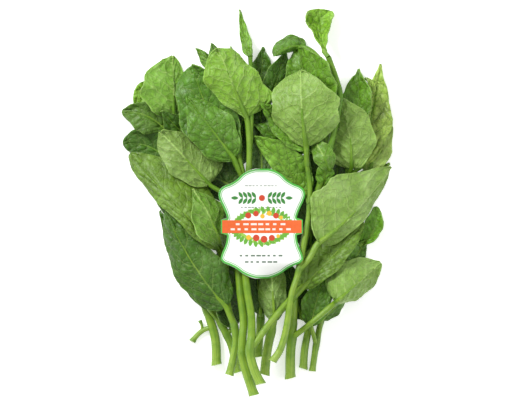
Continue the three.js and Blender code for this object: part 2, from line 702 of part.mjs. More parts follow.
// The petiole of a leaf keeps the blade's base near the height of its joint on the stem
function baseBounds(leaf, blade, stem) {
  if (leaf.under) {
    return [];
  }
  const joint = rodHeight(stem, leaf.root).height;
  const away = Math.hypot(leaf.base[0] - leaf.root[0], leaf.base[1] - leaf.root[1]);
  const low = joint - BASE_DROP * away;
  return Array.from({ length: blade.columns + 1 }, (_, v) => [v, low, joint + BASE_RISE]);
}

function layStem(shoot, map) {
  const below = widened(map);
  const own = newMap(-Infinity);
  const stem = rodPlan("stem", shoot.path, taper(shoot.radii, shoot.path));
  const leaves = shoot.leaves.map((given, n) => ({ ...USUAL_LEAF, phase: n * WAVE_OFFSET, ...given }));
  const blades = new Map();
  const layLeaf = (leaf) => {
    const blade = bladePlan(leaf);
    const bounds = baseBounds(leaf, blade, stem);
    settle(blade, floorsFor(blade, below, widened(own), leaf.base), { bounds });
    addTops(own, blade);
    blades.set(leaf, blade);
  };
  leaves.filter((leaf) => leaf.under).forEach(layLeaf);
  settle(stem, floorsFor(stem, below, widened(own), null));
  addTops(own, stem);
  leaves.filter((leaf) => !leaf.under).forEach(layLeaf);
  const petioles = leaves.map((leaf) => petiolePlan(leaf, blades.get(leaf), stem, below));
  petioles.forEach((petiole) => addTops(own, petiole));
  const sprig = shoot.sprig ? laySprig(shoot.sprig, stem, below) : null;
  own.forEach((height, cell) => {
    map[cell] = Math.max(map[cell], height);
  });
  return { stem, leaves, blades, petioles, sprig };
}

function laySprig(sprig, stem, below) {
  const plan = rodPlan("petiole", sprig.path, taper(sprig.radii, sprig.path));
  const pins = [[0, rodHeight(stem, sprig.path[0]).height]];
  settle(plan, plan.samples.map(({ cell }) => below[cell] + GAP), { pins });
  return plan;
}

// Solids

function closedGeometry(positions, triangles) {
  const geometry = new THREE.BufferGeometry();
  geometry.setAttribute("position", new THREE.Float32BufferAttribute(positions.flat(), 3));
  geometry.setIndex(triangles.flat());
  return geometry;
}

function solidOf(geometry) {
  const bare = geometry.clone();
  bare.deleteAttribute("normal");
  bare.deleteAttribute("uv");
  const merged = mergeVertices(bare);
  const mesh = new wasm.Mesh({
    numProp: 3,
    vertProperties: new Float32Array(merged.attributes.position.array),
    triVerts: new Uint32Array(merged.index.array),
  });
  return new wasm.Manifold(mesh);
}

function geometryOf(solid) {
  const mesh = solid.getMesh();
  const geometry = new THREE.BufferGeometry();
  geometry.setAttribute("position", new THREE.BufferAttribute(new Float32Array(mesh.vertProperties), 3));
  geometry.setIndex(new THREE.BufferAttribute(new Uint32Array(mesh.triVerts), 1));
  geometry.computeVertexNormals();
  return geometry;
}

// A sheet of even thickness: the same triangles on both faces, and a wall round its margin
function sheetSolid(plan, thickness) {
  const middle = plan.points.map(([x, y], v) => new THREE.Vector3(x, y, plan.heights[v]));
  const normals = middle.map(() => new THREE.Vector3());
  for (const triangle of plan.triangles) {
    const [a, b, c] = triangle.map((v) => middle[v]);
    const normal = b.clone().sub(a).cross(c.clone().sub(a));
    triangle.forEach((v) => normals[v].add(normal));
  }
  const count = middle.length;
  const face = (half) => middle.map((point, v) => {
    const moved = point.clone().addScaledVector(normals[v].clone().normalize(), half);
    return [moved.x, moved.y, Math.max(0, moved.z)];
  });
  const positions = [...face(thickness / 2), ...face(-thickness / 2)];
  const triangles = [];
  for (const [a, b, c] of plan.triangles) {
    triangles.push([a, b, c], [a + count, c + count, b + count]);
  }
  const margin = marginOf(plan.rows, plan.columns);
  margin.forEach((v, k) => {
    const next = margin[(k + 1) % margin.length];
    triangles.push([v, v + count, next + count], [v, next + count, next]);
  });
  return solidOf(closedGeometry(positions, triangles));
}

// The points round a grid, in turn, with the sheet on the left
function marginOf(rows, columns) {
  const at = (i, j) => i * (columns + 1) + j;
  const margin = [];
  for (let i = 0; i < rows; i++) {
    margin.push(at(i, 0));
  }
  for (let j = 0; j < columns; j++) {
    margin.push(at(rows, j));
  }
  for (let i = rows; i > 0; i--) {
    margin.push(at(i, columns));
  }
  for (let j = columns; j > 0; j--) {
    margin.push(at(0, j));
  }
  return margin;
}

// A rod through centres with given radii. Half a side's turn puts a flat side underneath.
function rodSolid(centres, radii, sides) {
  const positions = [];
  const turn = Math.PI / sides;
  centres.forEach((centre, k) => {
    const before = centres[Math.max(0, k - 1)];
    const after = centres[Math.min(centres.length - 1, k + 1)];
    const run = after.clone().sub(before).normalize();
    const aside = new THREE.Vector3(run.y, -run.x, 0).normalize();
    const up = aside.clone().cross(run);
    for (let side = 0; side < sides; side++) {
      const angle = -Math.PI / 2 + turn + (2 * Math.PI * side) / sides;
      const point = centre.clone()
        .addScaledVector(aside, radii[k] * Math.cos(angle))
        .addScaledVector(up, radii[k] * Math.sin(angle));
      positions.push([point.x, point.y, Math.max(0, point.z)]);
    }
  });
  const triangles = [];
  for (let k = 0; k + 1 < centres.length; k++) {
    for (let side = 0; side < sides; side++) {
      const next = (side + 1) % sides;
      const [a, b] = [k * sides + side, k * sides + next];
      const [c, d] = [a + sides, b + sides];
      triangles.push([a, d, b], [a, c, d]);
    }
  }
  const last = (centres.length - 1) * sides;
  for (let side = 1; side + 1 < sides; side++) {
    triangles.push([0, side, side + 1], [last, last + side + 1, last + side]);
  }
  return solidOf(closedGeometry(positions, triangles));
}

function centresOf(plan, sunk = 0) {
  return plan.points.map(([x, y], v) => new THREE.Vector3(x, y, plan.heights[v] - sunk));
}

function bladeHeight(blade, t) {
  const places = Array.from({ length: blade.rows + 1 }, (_, i) => rowPlace(i, blade.rows));
  let i = 0;
  while (i < blade.rows - 1 && places[i + 1] < t) {
    i++;
  }
  const share = (t - places[i]) / (places[i + 1] - places[i]);
  const middle = blade.columns / 2;
  const at = (row) => blade.heights[row * (blade.columns + 1) + middle];
  return at(i) + share * (at(i + 1) - at(i));
}

// The petiole runs on under the blade as its rib, thinner and thinner.
function petioleSolid(leaf, blade, petiole) {
  const rib = ribOf(leaf);
  const centres = centresOf(petiole);
  const radii = centres.map(() => leaf.petiole);
  const end = leaf.back ? RIB_END : RIB_HIDDEN_END;
  const ribSteps = leaf.back ? BACK_RIB_STEPS : HIDDEN_RIB_STEPS;
  for (let k = 1; k <= ribSteps; k++) {
    const t = (end * k) / ribSteps;
    const [x, y] = rib.point(t);
    centres.push(new THREE.Vector3(x, y, bladeHeight(blade, t)));
    radii.push(ribRadius(leaf, t));
  }
  return rodSolid(centres, radii, PETIOLE_SIDES);
}

function leafyStemSolid(laid) {
  const lowest = Math.min(...laid.stem.heights.map((height, v) => height - laid.stem.radii[v]));
  const sunk = lowest < FLAT_DEPTH ? FLAT_DEPTH : 0;
  let solid = rodSolid(centresOf(laid.stem, sunk), laid.stem.radii, STEM_SIDES);
  laid.leaves.forEach((leaf, n) => {
    const blade = laid.blades.get(leaf);
    solid = solid.add(sheetSolid(blade, BLADE_THICKNESS));
    solid = solid.add(petioleSolid(leaf, blade, laid.petioles[n]));
  });
  if (laid.sprig) {
    solid = solid.add(rodSolid(centresOf(laid.sprig), laid.sprig.radii, PETIOLE_SIDES));
  }
  return largestBody(solid);
}

// Fusing can leave a scrap or seal a hollow between two leaves: the scrap goes, and the hollow is filled.
function largestBody(solid) {
  const bodies = solid.decompose();
  bodies.sort((a, b) => b.volume() - a.volume());
  return bodies[0];
}

function namedMesh(name, solid, finish) {
  const mesh = new THREE.Mesh(geometryOf(solid), new THREE.MeshStandardMaterial(finish));
  mesh.name = name;
  return mesh;
}

// The bunch

const wasm = await Module();
wasm.setup();

const bunch = new THREE.Group();
const map = newMap(-GAP);

for (const shoot of LEAFY_STEMS) {
  const laid = layStem(shoot, map);
  bunch.add(namedMesh(shoot.name, leafyStemSolid(laid), LEAF_FINISH));
}

const card = cardPlan();
const bunchTop = widened(map);
settle(card, card.samples.map(({ cell }) => bunchTop[cell] + GAP));
bunch.add(namedMesh("label_card", sheetSolid(card, CARD_THICKNESS), CARD_FINISH));

export default bunch;
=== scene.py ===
# %% [markdown]
# # A bunch of malabar spinach
#
# The object is a bunch of cut greens from a market: juicy round stems, fleshy oval leaves with a raised
# midrib, and a printed card laid across the stems. It lies on a table and is seen from straight above.
# A script can't pick the bunch up and lay it down again, so it does what a hand would do: it lays one
# leafy stem after another, and lets each bend over the ones that lie there already. The shapes are then
# made fine: swept stalks, waved blades with sunken or raised veins, and materials for both faces of a leaf.

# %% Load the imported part
import math
from types import SimpleNamespace

import bpy
import numpy as np
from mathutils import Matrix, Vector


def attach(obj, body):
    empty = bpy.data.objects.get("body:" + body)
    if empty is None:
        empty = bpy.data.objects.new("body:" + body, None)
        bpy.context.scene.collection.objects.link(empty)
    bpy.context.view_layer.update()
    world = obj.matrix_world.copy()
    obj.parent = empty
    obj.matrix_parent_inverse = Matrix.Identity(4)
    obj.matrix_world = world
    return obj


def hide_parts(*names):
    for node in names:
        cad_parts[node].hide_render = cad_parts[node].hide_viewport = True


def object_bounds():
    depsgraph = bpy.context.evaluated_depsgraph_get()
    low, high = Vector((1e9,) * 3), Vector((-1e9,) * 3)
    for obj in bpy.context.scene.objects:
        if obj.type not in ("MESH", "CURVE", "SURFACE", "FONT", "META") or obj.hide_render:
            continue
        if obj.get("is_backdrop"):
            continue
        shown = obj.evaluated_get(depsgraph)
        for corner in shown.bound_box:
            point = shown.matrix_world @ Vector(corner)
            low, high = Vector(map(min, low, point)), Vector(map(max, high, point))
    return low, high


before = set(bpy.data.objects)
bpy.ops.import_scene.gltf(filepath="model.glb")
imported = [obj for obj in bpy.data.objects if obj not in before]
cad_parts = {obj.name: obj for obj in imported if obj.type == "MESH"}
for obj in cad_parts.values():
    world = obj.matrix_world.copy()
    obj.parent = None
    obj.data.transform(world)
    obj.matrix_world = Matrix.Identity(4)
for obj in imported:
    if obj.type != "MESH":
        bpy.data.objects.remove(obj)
cad_box = [list(corner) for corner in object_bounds()]
MM = 0.001
print("nodes:", len(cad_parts), "box in mm:", [[round(v / MM, 1) for v in c] for c in cad_box])

# %% [markdown]
# ## The leaves, as a table
#
# A real bunch is best described the way a botanist presses it: flat, in plan. Each leafy stem is a line
# from its cut end to its tip. Each leaf has a root on that stem, the base and the tip of its blade, and
# its half widths on the left and right of the midrib near the base, in the middle and near the tip, all
# in millimetres. lift is how high the margins stand over the rib, and back says that the pale underside
# faces up. Heights aren't in the table, because the laying works them out. Another way would be to model
# every leaf by hand, but a table keeps the bunch easy to change.

# %% The leafy stems, lowest first


def leaf(name, root, base, tip, left, right, tone="dark", mid=None, via=None, peak=0.4, blunt=0.95,
         lift=(-4, -4), fold=1.8, wave=2.2, waves=2.3, ripple=0.06, ripples=2.7, petiole=1.7,
         back=False, under=False, hidden=False):
    """One leaf. peak is where along it the blade is widest, and blunt how pointed its tip is. Its stalk
    passes through via. An under leaf lies below its own stem, and a hidden one below other leaves."""
    return SimpleNamespace(**locals())


def leafy_stem(name, radii, path, leaves, sprig=None):
    return SimpleNamespace(name=name, radii=radii, path=path, leaves=leaves, sprig=sprig)


def side_sprig(radii, path):
    return SimpleNamespace(radii=radii, path=path)


LEAFY_STEMS = [
    leafy_stem(
        "leafy_stem_far_left",
        radii=(3.7, 2.2),
        path=[(-32, -126), (-33, -106), (-38, -88), (-45, -68), (-49, -46), (-52, -25), (-55, -5),
            (-57, 17), (-61, 40), (-65, 59)],
        sprig=side_sprig(radii=(1.9, 2.0), path=[(-36, -97), (-42, -99), (-47, -103), (-51, -108)]),
        leaves=[
            leaf("left_back", root=(-57, 17), base=(-66, 70), tip=(-93, 90), left=(12, 16, 19),
                 right=(12, 13, 14), blunt=0.4, lift=(5, 4), tone="lime"),
            leaf("left_low", root=(-55, -5), base=(-66, 30), mid=(-85, 43), tip=(-104, 45),
                 left=(11, 12, 14), right=(12, 14, 16), blunt=0.55, lift=(5, 7), tone="deep"),
            leaf("left_curl", root=(-57, 17), base=(-72, 56), mid=(-87, 67), tip=(-105, 69),
                 left=(10, 14, 12), right=(8, 10, 10), blunt=0.55, lift=(-4, 9), fold=2.4, tone="shade"),
            leaf("left_round", root=(-63, 50), base=(-65, 65), tip=(-66, 113), left=(21, 25, 28),
                 right=(9, 10, 12), blunt=0.6, lift=(-6, 5), back=True, petiole=2.0, tone="bright"),
        ],
    ),
    leafy_stem(
        "leafy_stem_left",
        radii=(3.1, 2.1),
        path=[(-16, -132), (-18, -122), (-21, -110), (-28, -95), (-35, -82), (-42, -69), (-48, -52),
            (-52, -33), (-57, -12)],
        leaves=[
            leaf("low_left_inner", root=(-24, -103), base=(-20, -97), tip=(-26, -24), left=(12, 14, 12),
                 right=(10, 13, 12), lift=(1, 1), hidden=True),
            leaf("lower_left_back", root=(-28, -95), base=(-38, -82), tip=(-76, -7), left=(9, 10, 10),
                 right=(15, 22, 16), lift=(5, 4), tone="deep"),
            leaf("left_under", root=(-48, -52), base=(-52, -29), tip=(-84, 14), left=(5, 5, 6),
                 right=(12, 18, 12), lift=(2, 2), hidden=True),
        ],
    ),
    leafy_stem(
        "leafy_stem_right",
        radii=(3.1, 2.0),
        path=[(35, -129), (36, -115), (39, -99), (43, -82), (48, -64), (53, -43), (59, -22), (63, -2),
            (67, 17)],
        leaves=[
            leaf("low_right_inner", root=(41, -90), base=(34, -90), tip=(20, -42), left=(9, 11, 8),
                 right=(9, 10, 8), lift=(1, 1), hidden=True),
            leaf("inner_right", root=(53, -43), base=(41, -46), tip=(40, 50), left=(10, 13, 10),
                 right=(10, 12, 10), lift=(1, 1), hidden=True),
            leaf("right_behind", root=(59, -22), base=(56, -18), tip=(64, 42), left=(12, 14, 10),
                 right=(10, 13, 10), lift=(1, 1), hidden=True),
            leaf("right_low_tip", root=(62, -10), base=(71, 9), tip=(102, 30), left=(6, 7, 5),
                 right=(6, 7, 6), lift=(1, 1), tone="olive"),
            leaf("right_olive", root=(65, 5), base=(86, 22), mid=(92, 48), tip=(98, 78),
                 left=(10, 12, 9), right=(11, 13, 11), blunt=0.7, lift=(5, -7), back=True, tone="straw"),
            leaf("right_long", root=(67, 17), base=(82, 30), mid=(88, 68), tip=(95, 107),
                 left=(12, 12, 6), right=(12, 16, 9), lift=(6, 4), tone="straw"),
            leaf("right_small_curl", root=(72, 45), base=(84, 78), mid=(88, 88), tip=(83, 96),
                 left=(3, 3, 3), right=(3, 3, 3), blunt=0.6, lift=(2, 2), petiole=1.2, tone="straw"),
            leaf("right_point", root=(67, 17), base=(77, 60), tip=(78, 103), left=(11, 13, 9),
                 right=(9, 10, 9), lift=(8, 8), fold=1.2, tone="fresh"),
            leaf("right_pale", root=(67, 14), base=(72, 26), mid=(70.5, 52), tip=(62, 80),
                 left=(21, 22, 16), right=(14, 20, 20), blunt=0.7, back=True, lift=(-6, -6), tone="ash"),
        ],
    ),
    leafy_stem(
        "leafy_stem_far_right",
        radii=(2.5, 1.7),
        path=[(42, -131), (45, -111), (49, -92), (54, -78), (60, -64), (67, -51), (72, -38), (77, -28)],
        leaves=[
            leaf("lower_dark", root=(45, -111), base=(41, -95), mid=(45, -77), tip=(51, -57),
                 left=(9, 11, 8), right=(9, 11, 9), blunt=0.7, lift=(5, 5), tone="leaf"),
            leaf("lower_dark_back", root=(45, -108), base=(50, -90), tip=(68, -74), left=(3, 4, 4),
                 right=(4, 6, 5), lift=(1, -1), tone="leaf"),
            leaf("right_notch", root=(67, -51), base=(72, -50), tip=(83, -30), left=(6, 7, 7),
                 right=(5, 6, 5), blunt=0.6, lift=(1, 1), tone="leaf"),
            leaf("right_bright", root=(75, -33), base=(79, -33), mid=(90, -21), tip=(91, -4),
                 left=(8, 10, 9), right=(3, 6, 7), blunt=0.5, lift=(6, 5), tone="vivid"),
        ],
    ),
    leafy_stem(
        "leafy_stem_inner",
        radii=(3.3, 2.0),
        path=[(0, -120), (1, -106), (2, -91), (2, -72), (1, -49), (-3, -22), (-8, 5), (-14, 28),
            (-22, 48), (-29, 67)],
        leaves=[
            leaf("low_centre", root=(2, -91), base=(2, -86), tip=(-2, -42), left=(9, 10, 8),
                 right=(9, 11, 9), lift=(1, 1), hidden=True),
            leaf("inner_low_left", root=(-8, 5), base=(-14, 10), tip=(-54, 28), left=(13, 16, 12),
                 right=(16, 20, 12), lift=(2, 2), hidden=True),
            leaf("inner_mid", root=(-14, 28), base=(-13, 30), tip=(-12, 84), left=(9, 11, 9),
                 right=(9, 10, 8), lift=(2, 2), hidden=True),
            leaf("inner_left", root=(-22, 48), base=(-41, 34), tip=(-74, 70), left=(12, 14, 12),
                 right=(13, 15, 12), lift=(5, 4), tone="deep"),
            leaf("inner_top", root=(-29, 67), base=(-26, 68), tip=(-31, 117), left=(12, 13, 10),
                 right=(12, 12, 9), lift=(4, 4), hidden=True),
        ],
    ),
    leafy_stem(
        "leafy_stem_middle",
        radii=(3.7, 2.0),
        path=[(5, -133), (7, -115), (10, -100), (12, -85), (11, -68), (9, -46), (8, -22), (6, 5),
            (6, 32), (7, 55), (8, 75)],
        leaves=[
            leaf("inner_centre", root=(6, 5), base=(3, 17), tip=(2, 86), left=(9, 11, 10),
                 right=(9, 11, 10), lift=(1, 1), hidden=True),
            leaf("top_dark_left", root=(8, 75), base=(1, 82), mid=(3, 102), tip=(4, 120),
                 left=(9, 9, 8), right=(8, 9, 6), lift=(5, 5), tone="deep"),
            leaf("top_dark", root=(8, 75), base=(9, 78), mid=(15, 96), tip=(21, 116), left=(8, 10, 8),
                 right=(9, 11, 9), lift=(4, 5), tone="deep"),
            leaf("hanging", root=(11, -100), base=(13, -91), mid=(11, -65), tip=(9, -28),
                 left=(9, 11, 11), right=(9, 11, 11), back=True, lift=(-5, -5), tone="olive"),
        ],
    ),
    leafy_stem(
        "leafy_stem_lower_left",
        radii=(3.1, 2.3),
        path=[(-22, -133), (-19, -120), (-17, -107), (-18, -96), (-22, -85), (-24, -72), (-25, -56),
            (-25, -43)],
        leaves=[
            leaf("lower_left", root=(-18, -96), base=(-25, -80), mid=(-50, -47), tip=(-71, -8),
                 left=(16, 17, 15), right=(20, 19, 17), blunt=0.7, lift=(-8, -7), petiole=2.2,
                 tone="deep"),
            leaf("left_big", root=(-25, -50), base=(-31, -36), tip=(-99, 37), left=(8, 9, 16),
                 right=(23, 25, 22), blunt=0.55, lift=(-7, 2), wave=2, petiole=2.1, tone="olive"),
            leaf("left_inner", root=(-25, -45), base=(-28, -34), mid=(-37, -12), tip=(-50, 10),
                 left=(10, 14, 13), right=(13, 15, 13), lift=(3, -5), back=True, petiole=1.9,
                 tone="fresh"),
        ],
    ),
    leafy_stem(
        "leafy_stem_upper_right",
        radii=(3.9, 1.9),
        path=[(25, -136), (25, -119), (26, -105), (27, -89), (28, -72), (32, -52), (36, -29), (42, -6),
            (49, 17), (55, 40), (60, 63), (63, 80), (59, 98), (54, 111)],
        leaves=[
            leaf("lower_right", root=(24, -105), via=(41, -93), base=(60, -77), mid=(76, -63),
                 tip=(95, -47), left=(22, 22, 20), right=(6, 11, 15), blunt=0.6, lift=(-7, -10),
                 back=True, petiole=2.2, fold=1.4, tone="pale"),
            leaf("centre_small", root=(55, 40), base=(35, 39), tip=(-3, 60), left=(7, 8, 7),
                 right=(8, 11, 9), lift=(1, 1), tone="leaf"),
            leaf("right_tiny", root=(49, 17), base=(51, 12), tip=(52, 33), left=(6, 7, 6),
                 right=(6, 7, 6), lift=(1, 1), tone="vivid"),
            leaf("right_inner", root=(52, 28), base=(55, 25), tip=(43, 50), left=(7, 8, 8),
                 right=(8, 9, 8), back=True, lift=(-1, -1), tone="fresh"),
            leaf("top_right_dark", root=(60, 63), base=(43, 64), mid=(37, 92), tip=(31, 119),
                 left=(17, 18, 16), right=(18, 22, 22), blunt=0.6, lift=(6, 5), tone="fresh"),
            leaf("top_nodding", root=(63, 80), via=(51, 105), base=(36, 119), mid=(25, 120),
                 tip=(12, 113), left=(3, 4, 4), right=(7, 9, 9), blunt=0.45, lift=(-7, -7), fold=2.6,
                 petiole=2.3, tone="leaf"),
            leaf("top_cone", root=(54, 111), base=(51, 115), mid=(48.5, 132), tip=(47, 149),
                 left=(9, 8, 15), right=(9, 8, 15), peak=0.72, blunt=0.35, lift=(9, 10), fold=2.0,
                 tone="lime"),
        ],
    ),
    leafy_stem(
        "leafy_stem_centre",
        radii=(3.7, 1.8),
        path=[(-3, -148), (-8, -133), (-12, -119), (-12, -107), (-11, -92), (-13, -74), (-15, -52),
            (-15, -29), (-12, -2), (-11, 17), (-15, 36), (-18, 59), (-21, 82), (-23, 102)],
        leaves=[
            leaf("crinkled", root=(-12, -2), base=(-38, 14), tip=(-75, 54), left=(10, 16, 17),
                 right=(31, 22, 16), blunt=0.55, back=True, lift=(-4, -6), wave=2.4, tone="grey"),
            leaf("top_left_tip", root=(-21, 82), base=(-30, 99), tip=(-48, 119), left=(4, 5, 4),
                 right=(4, 5, 4), lift=(-3, -3), tone="fresh"),
            leaf("top_left_small", root=(-22, 90), base=(-25, 90), tip=(-36, 123), left=(8, 9, 7),
                 right=(7, 8, 6), lift=(2, 2), tone="leaf"),
            leaf("top_small", root=(-21, 82), base=(-15, 84), tip=(-21, 120), left=(8, 8, 6),
                 right=(8, 9, 7), lift=(2, 2), tone="leaf"),
            leaf("top_left_dark", root=(-11, 17), base=(-19, 33), mid=(-37, 67), tip=(-51, 105),
                 left=(16, 24, 27), right=(17, 19, 22), blunt=0.5, lift=(-6, 6), wave=2.4, petiole=2.1,
                 tone="moss"),
            leaf("top_left_mid", root=(-11, 17), base=(-19, 34), tip=(-55, 81), left=(15, 18, 16),
                 right=(14, 18, 15), blunt=0.9, lift=(-4, -5), petiole=1.9, tone="leaf"),
        ],
    ),
    leafy_stem(
        "leafy_stem_upper",
        radii=(3.7, 1.5),
        path=[(2, -139), (-3, -128), (-6, -116), (-5, -102), (-5, -89), (-8, -70), (-10, -53),
            (-9, -25), (-8, 2), (-7, 25), (-6, 48), (-5, 71), (-5, 94), (-6, 112)],
        leaves=[
            leaf("top_twisted", root=(-6, 112), base=(-6, 113), mid=(-11, 130), tip=(-14, 149),
                 left=(6, 3, 4), right=(5, 4, 2), lift=(-4, 4), fold=1.4, tone="bright"),
            leaf("right_low", root=(-6, -113), via=(9, -93), base=(34, -66), tip=(82, -17),
                 left=(16, 18, 14), right=(8, 10, 9), blunt=0.7, lift=(5, -6), petiole=2.6, tone="olive"),
            leaf("top_bright", root=(-7, 25), via=(-7, 48), base=(-9, 65), tip=(-31, 118),
                 left=(4, 18, 30), right=(36, 21, 26), blunt=0.62, back=True, lift=(-8, -8),
                 petiole=2.1, tone="lime"),
        ],
    ),
    leafy_stem(
        "leafy_stem_top",
        radii=(2.9, 1.9),
        path=[(11, -122), (16, -115), (20, -104), (23, -89), (26, -70), (31, -54), (35, -33), (39, -10),
            (40, 9), (38, 28)],
        leaves=[
            leaf("centre_bright", root=(39, -2), base=(37, 6), mid=(19, 29), tip=(-3, 51),
                 left=(9, 9, 8), right=(16, 16, 12), blunt=0.7, lift=(3, 5), under=True, tone="bright"),
            leaf("centre_fold", root=(39, 21), base=(36, 40), tip=(2, 76), left=(7, 9, 7),
                 right=(12, 15, 12), lift=(-5, 1), tone="fresh"),
            leaf("right_big", root=(31, -52), via=(39, -44), base=(47, -31), mid=(74, -8),
                 tip=(103, 27), left=(27, 33, 30), right=(9, 10, 9), blunt=0.75, back=True,
                 lift=(-7, -9), petiole=2.3, wave=2.4, tone="pale"),
            leaf("centre_pale", root=(38, 28), base=(37, 43), mid=(33.5, 72), tip=(33, 101),
                 left=(10, 24, 28), right=(22, 30, 29), blunt=0.6, back=True, lift=(-8, -8),
                 petiole=2.3, tone="pale"),
        ],
    ),
]
print("leafy stems:", len(LEAFY_STEMS), "leaves:", sum(len(shoot.leaves) for shoot in LEAFY_STEMS))

# %% The label card, as a table
# Each station is a place up from the card's lower edge and half the card's width there. The three that
# are 31.4 mm wide are the ribbon of its print, which is cut out with it.
CARD_AXIS = 3
CARD_BOTTOM = -58.5
CARD_STATIONS = [(0, 5), (1.2, 9), (3.8, 14.6), (7.7, 20), (10, 24.6), (12, 29.4), (15.2, 31.6),
                 (19.2, 30.6), (23.8, 28.6), (28.5, 27.2), (33.2, 26.7), (34.4, 31.4), (39.6, 31.4),
                 (44.9, 31.4), (46.1, 26.8), (50, 27.8), (54.7, 29.8), (59.3, 32), (63.9, 33.3),
                 (67.7, 32.4), (70.6, 29.2), (72.6, 24.2), (75.6, 19.4), (80.1, 14.6), (82.6, 10),
                 (84, 5)]
CARD_COLUMNS = 4
print("card:", 2 * max(half for _, half in CARD_STATIONS), "mm wide,", CARD_STATIONS[-1][0], "mm tall")

# %% [markdown]
# ## The outline of a leaf
#
# A leaf's midrib is a gentle curve through its base, its middle and its tip. The blade runs out to both
# sides of it. Its half width follows a sine that is squeezed towards the base, so that the widest place
# sits where peak says, and is raised to a power that makes each end round or pointed. A place on a blade
# is given by along, from 0 at the base to 1 at the tip, and across, from -1 at the right margin to 1 at
# the left one. Everything later uses these two numbers, as a tailor uses the lines on a pattern.

# %% The plan of a blade
WIDTH_AT_BASE = 1.7
WIDTH_AT_TIP = 0.6
BASE_FULLNESS = 0.48
WAVE_OFFSET = 0.37


def curve_through(start, middle, end, t):
    """Places on the quadratic curve through three points, and its direction there."""
    start, middle, end = (np.array(p, float) for p in (start, middle, end))
    t = np.asarray(t, float)[..., None]
    pull = 2 * middle - (start + end) / 2
    place = (1 - t) ** 2 * start + 2 * t * (1 - t) * pull + t * t * end
    run = (1 - t) * (pull - start) + t * (end - pull)
    return place, run / np.linalg.norm(run, axis=-1, keepdims=True)


def rib_of(one, t):
    middle = one.mid or ((one.base[0] + one.tip[0]) / 2, (one.base[1] + one.tip[1]) / 2)
    return curve_through(one.base, middle, one.tip, t)


def outline(one, t):
    """The half width as a share of its full value."""
    turned = t ** (math.log(0.5) / math.log(one.peak))
    fullness = BASE_FULLNESS + (one.blunt - BASE_FULLNESS) * t
    return np.maximum(0, np.sin(np.pi * turned)) ** fullness


def weaving(one, t, side):
    """How a margin weaves in and out on its way from the base to the tip."""
    step = one.ripples * t + np.where(side > 0, 0, WAVE_OFFSET) + 2 * one.phase
    return 1 + one.ripple * np.sin(2 * np.pi * step)


def half_width(one, t, side, tip_width=WIDTH_AT_TIP):
    def through(widths):
        near, middle, far = widths
        return near * (1 - t) * (1 - 2 * t) + 4 * middle * t * (1 - t) + far * t * (2 * t - 1)

    end = WIDTH_AT_BASE + (tip_width - WIDTH_AT_BASE) * t
    full = np.where(side > 0, through(one.left), through(one.right)) * outline(one, t)
    return np.maximum(end, full * weaving(one, t, side))


def blade_point(one, t, side, tip_width=WIDTH_AT_TIP):
    place, run = rib_of(one, t)
    out = half_width(one, t, side, tip_width) * side
    return np.stack([place[..., 0] - run[..., 1] * out, place[..., 1] + run[..., 0] * out], axis=-1)


def blade_rest(one, t, side):
    """How high a blade would stand over its rib if nothing bent it."""
    margin = np.where(side > 0, one.lift[0], one.lift[1])
    cup = margin * np.abs(side) ** one.fold * outline(one, t)
    step = one.waves * t + np.where(side > 0, 0, WAVE_OFFSET) + one.phase
    return cup + one.wave * side * side * outline(one, t) * np.sin(2 * np.pi * step)


def blade_length(one):
    return math.dist(one.base, one.tip)


longest = max((one for shoot in LEAFY_STEMS for one in shoot.leaves), key=blade_length)
print(f"longest blade: {longest.name}, {blade_length(longest):.0f} mm")

# %% [markdown]
# ## Laying the bunch down
#
# Each stem, stalk, blade and the card is a net of points with fixed places in plan and a height that
# has to be found. A piece sinks a little, springs back towards its own shape, and is pushed up wherever
# it would enter what lies under it. After enough such steps it lies as a real one would. What lies there
# is kept as a height map, a grid that holds the top of the pile in each cell. Blender's Cloth could do
# this too, but leaves are stiffer than cloth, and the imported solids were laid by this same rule, so the
# fine pieces made here lie exactly where those are.

# %% The height map
CELL = 1.5
MAP_LEFT, MAP_BOTTOM = -120, -165
MAP_COLUMNS, MAP_ROWS = 160, 220


def new_map(height):
    return np.full(MAP_COLUMNS * MAP_ROWS, float(height))


def column_of(x):
    return int(min(MAP_COLUMNS - 1, max(0, math.floor((x - MAP_LEFT) / CELL))))


def row_of(y):
    return int(min(MAP_ROWS - 1, max(0, math.floor((y - MAP_BOTTOM) / CELL))))


def cells_between(low, high):
    """The cells of a rectangle in plan: their numbers and their centres."""
    rows = np.arange(row_of(low[1]), row_of(high[1]) + 1)
    columns = np.arange(column_of(low[0]), column_of(high[0]) + 1)
    row, column = (grid.ravel() for grid in np.meshgrid(rows, columns, indexing="ij"))
    return row * MAP_COLUMNS + column, MAP_LEFT + (column + 0.5) * CELL, MAP_BOTTOM + (row + 0.5) * CELL


def widened(tops):
    """Each cell takes the highest of itself and its eight neighbours."""
    grid = tops.reshape(MAP_ROWS, MAP_COLUMNS)
    wide = grid.copy()
    for down in range(3):
        for right in range(3):
            shifted = grid[down:MAP_ROWS - 2 + down, right:MAP_COLUMNS - 2 + right]
            np.maximum(wide[1:-1, 1:-1], shifted, out=wide[1:-1, 1:-1])
    return wide.ravel()


print("height map:", MAP_COLUMNS, "by", MAP_ROWS, "cells of", CELL, "mm")

# %% [markdown]
# ## Nets of points
#
# A blade is a thin sheet and a stem is a rod. Both become a few points joined in lines: along each line
# the piece resists bending, as a leaf does along its rib and its margins. A finer net would follow the
# leaf more closely and settle more slowly, so the nets stay coarse and are smoothed later.

# %% The rows and lines of a net
GATHERING = 0.6


def bends_of(points, lines):
    """Three neighbours in a line bend like a rod. share is where the middle one stands."""
    ends = [(line[k - 1], line[k], line[k + 1]) for line in lines for k in range(1, len(line) - 1)]
    a, b, c = np.array(ends).T
    before = np.linalg.norm(points[a] - points[b], axis=1)
    after = np.linalg.norm(points[b] - points[c], axis=1)
    return a, b, c, before / (before + after)


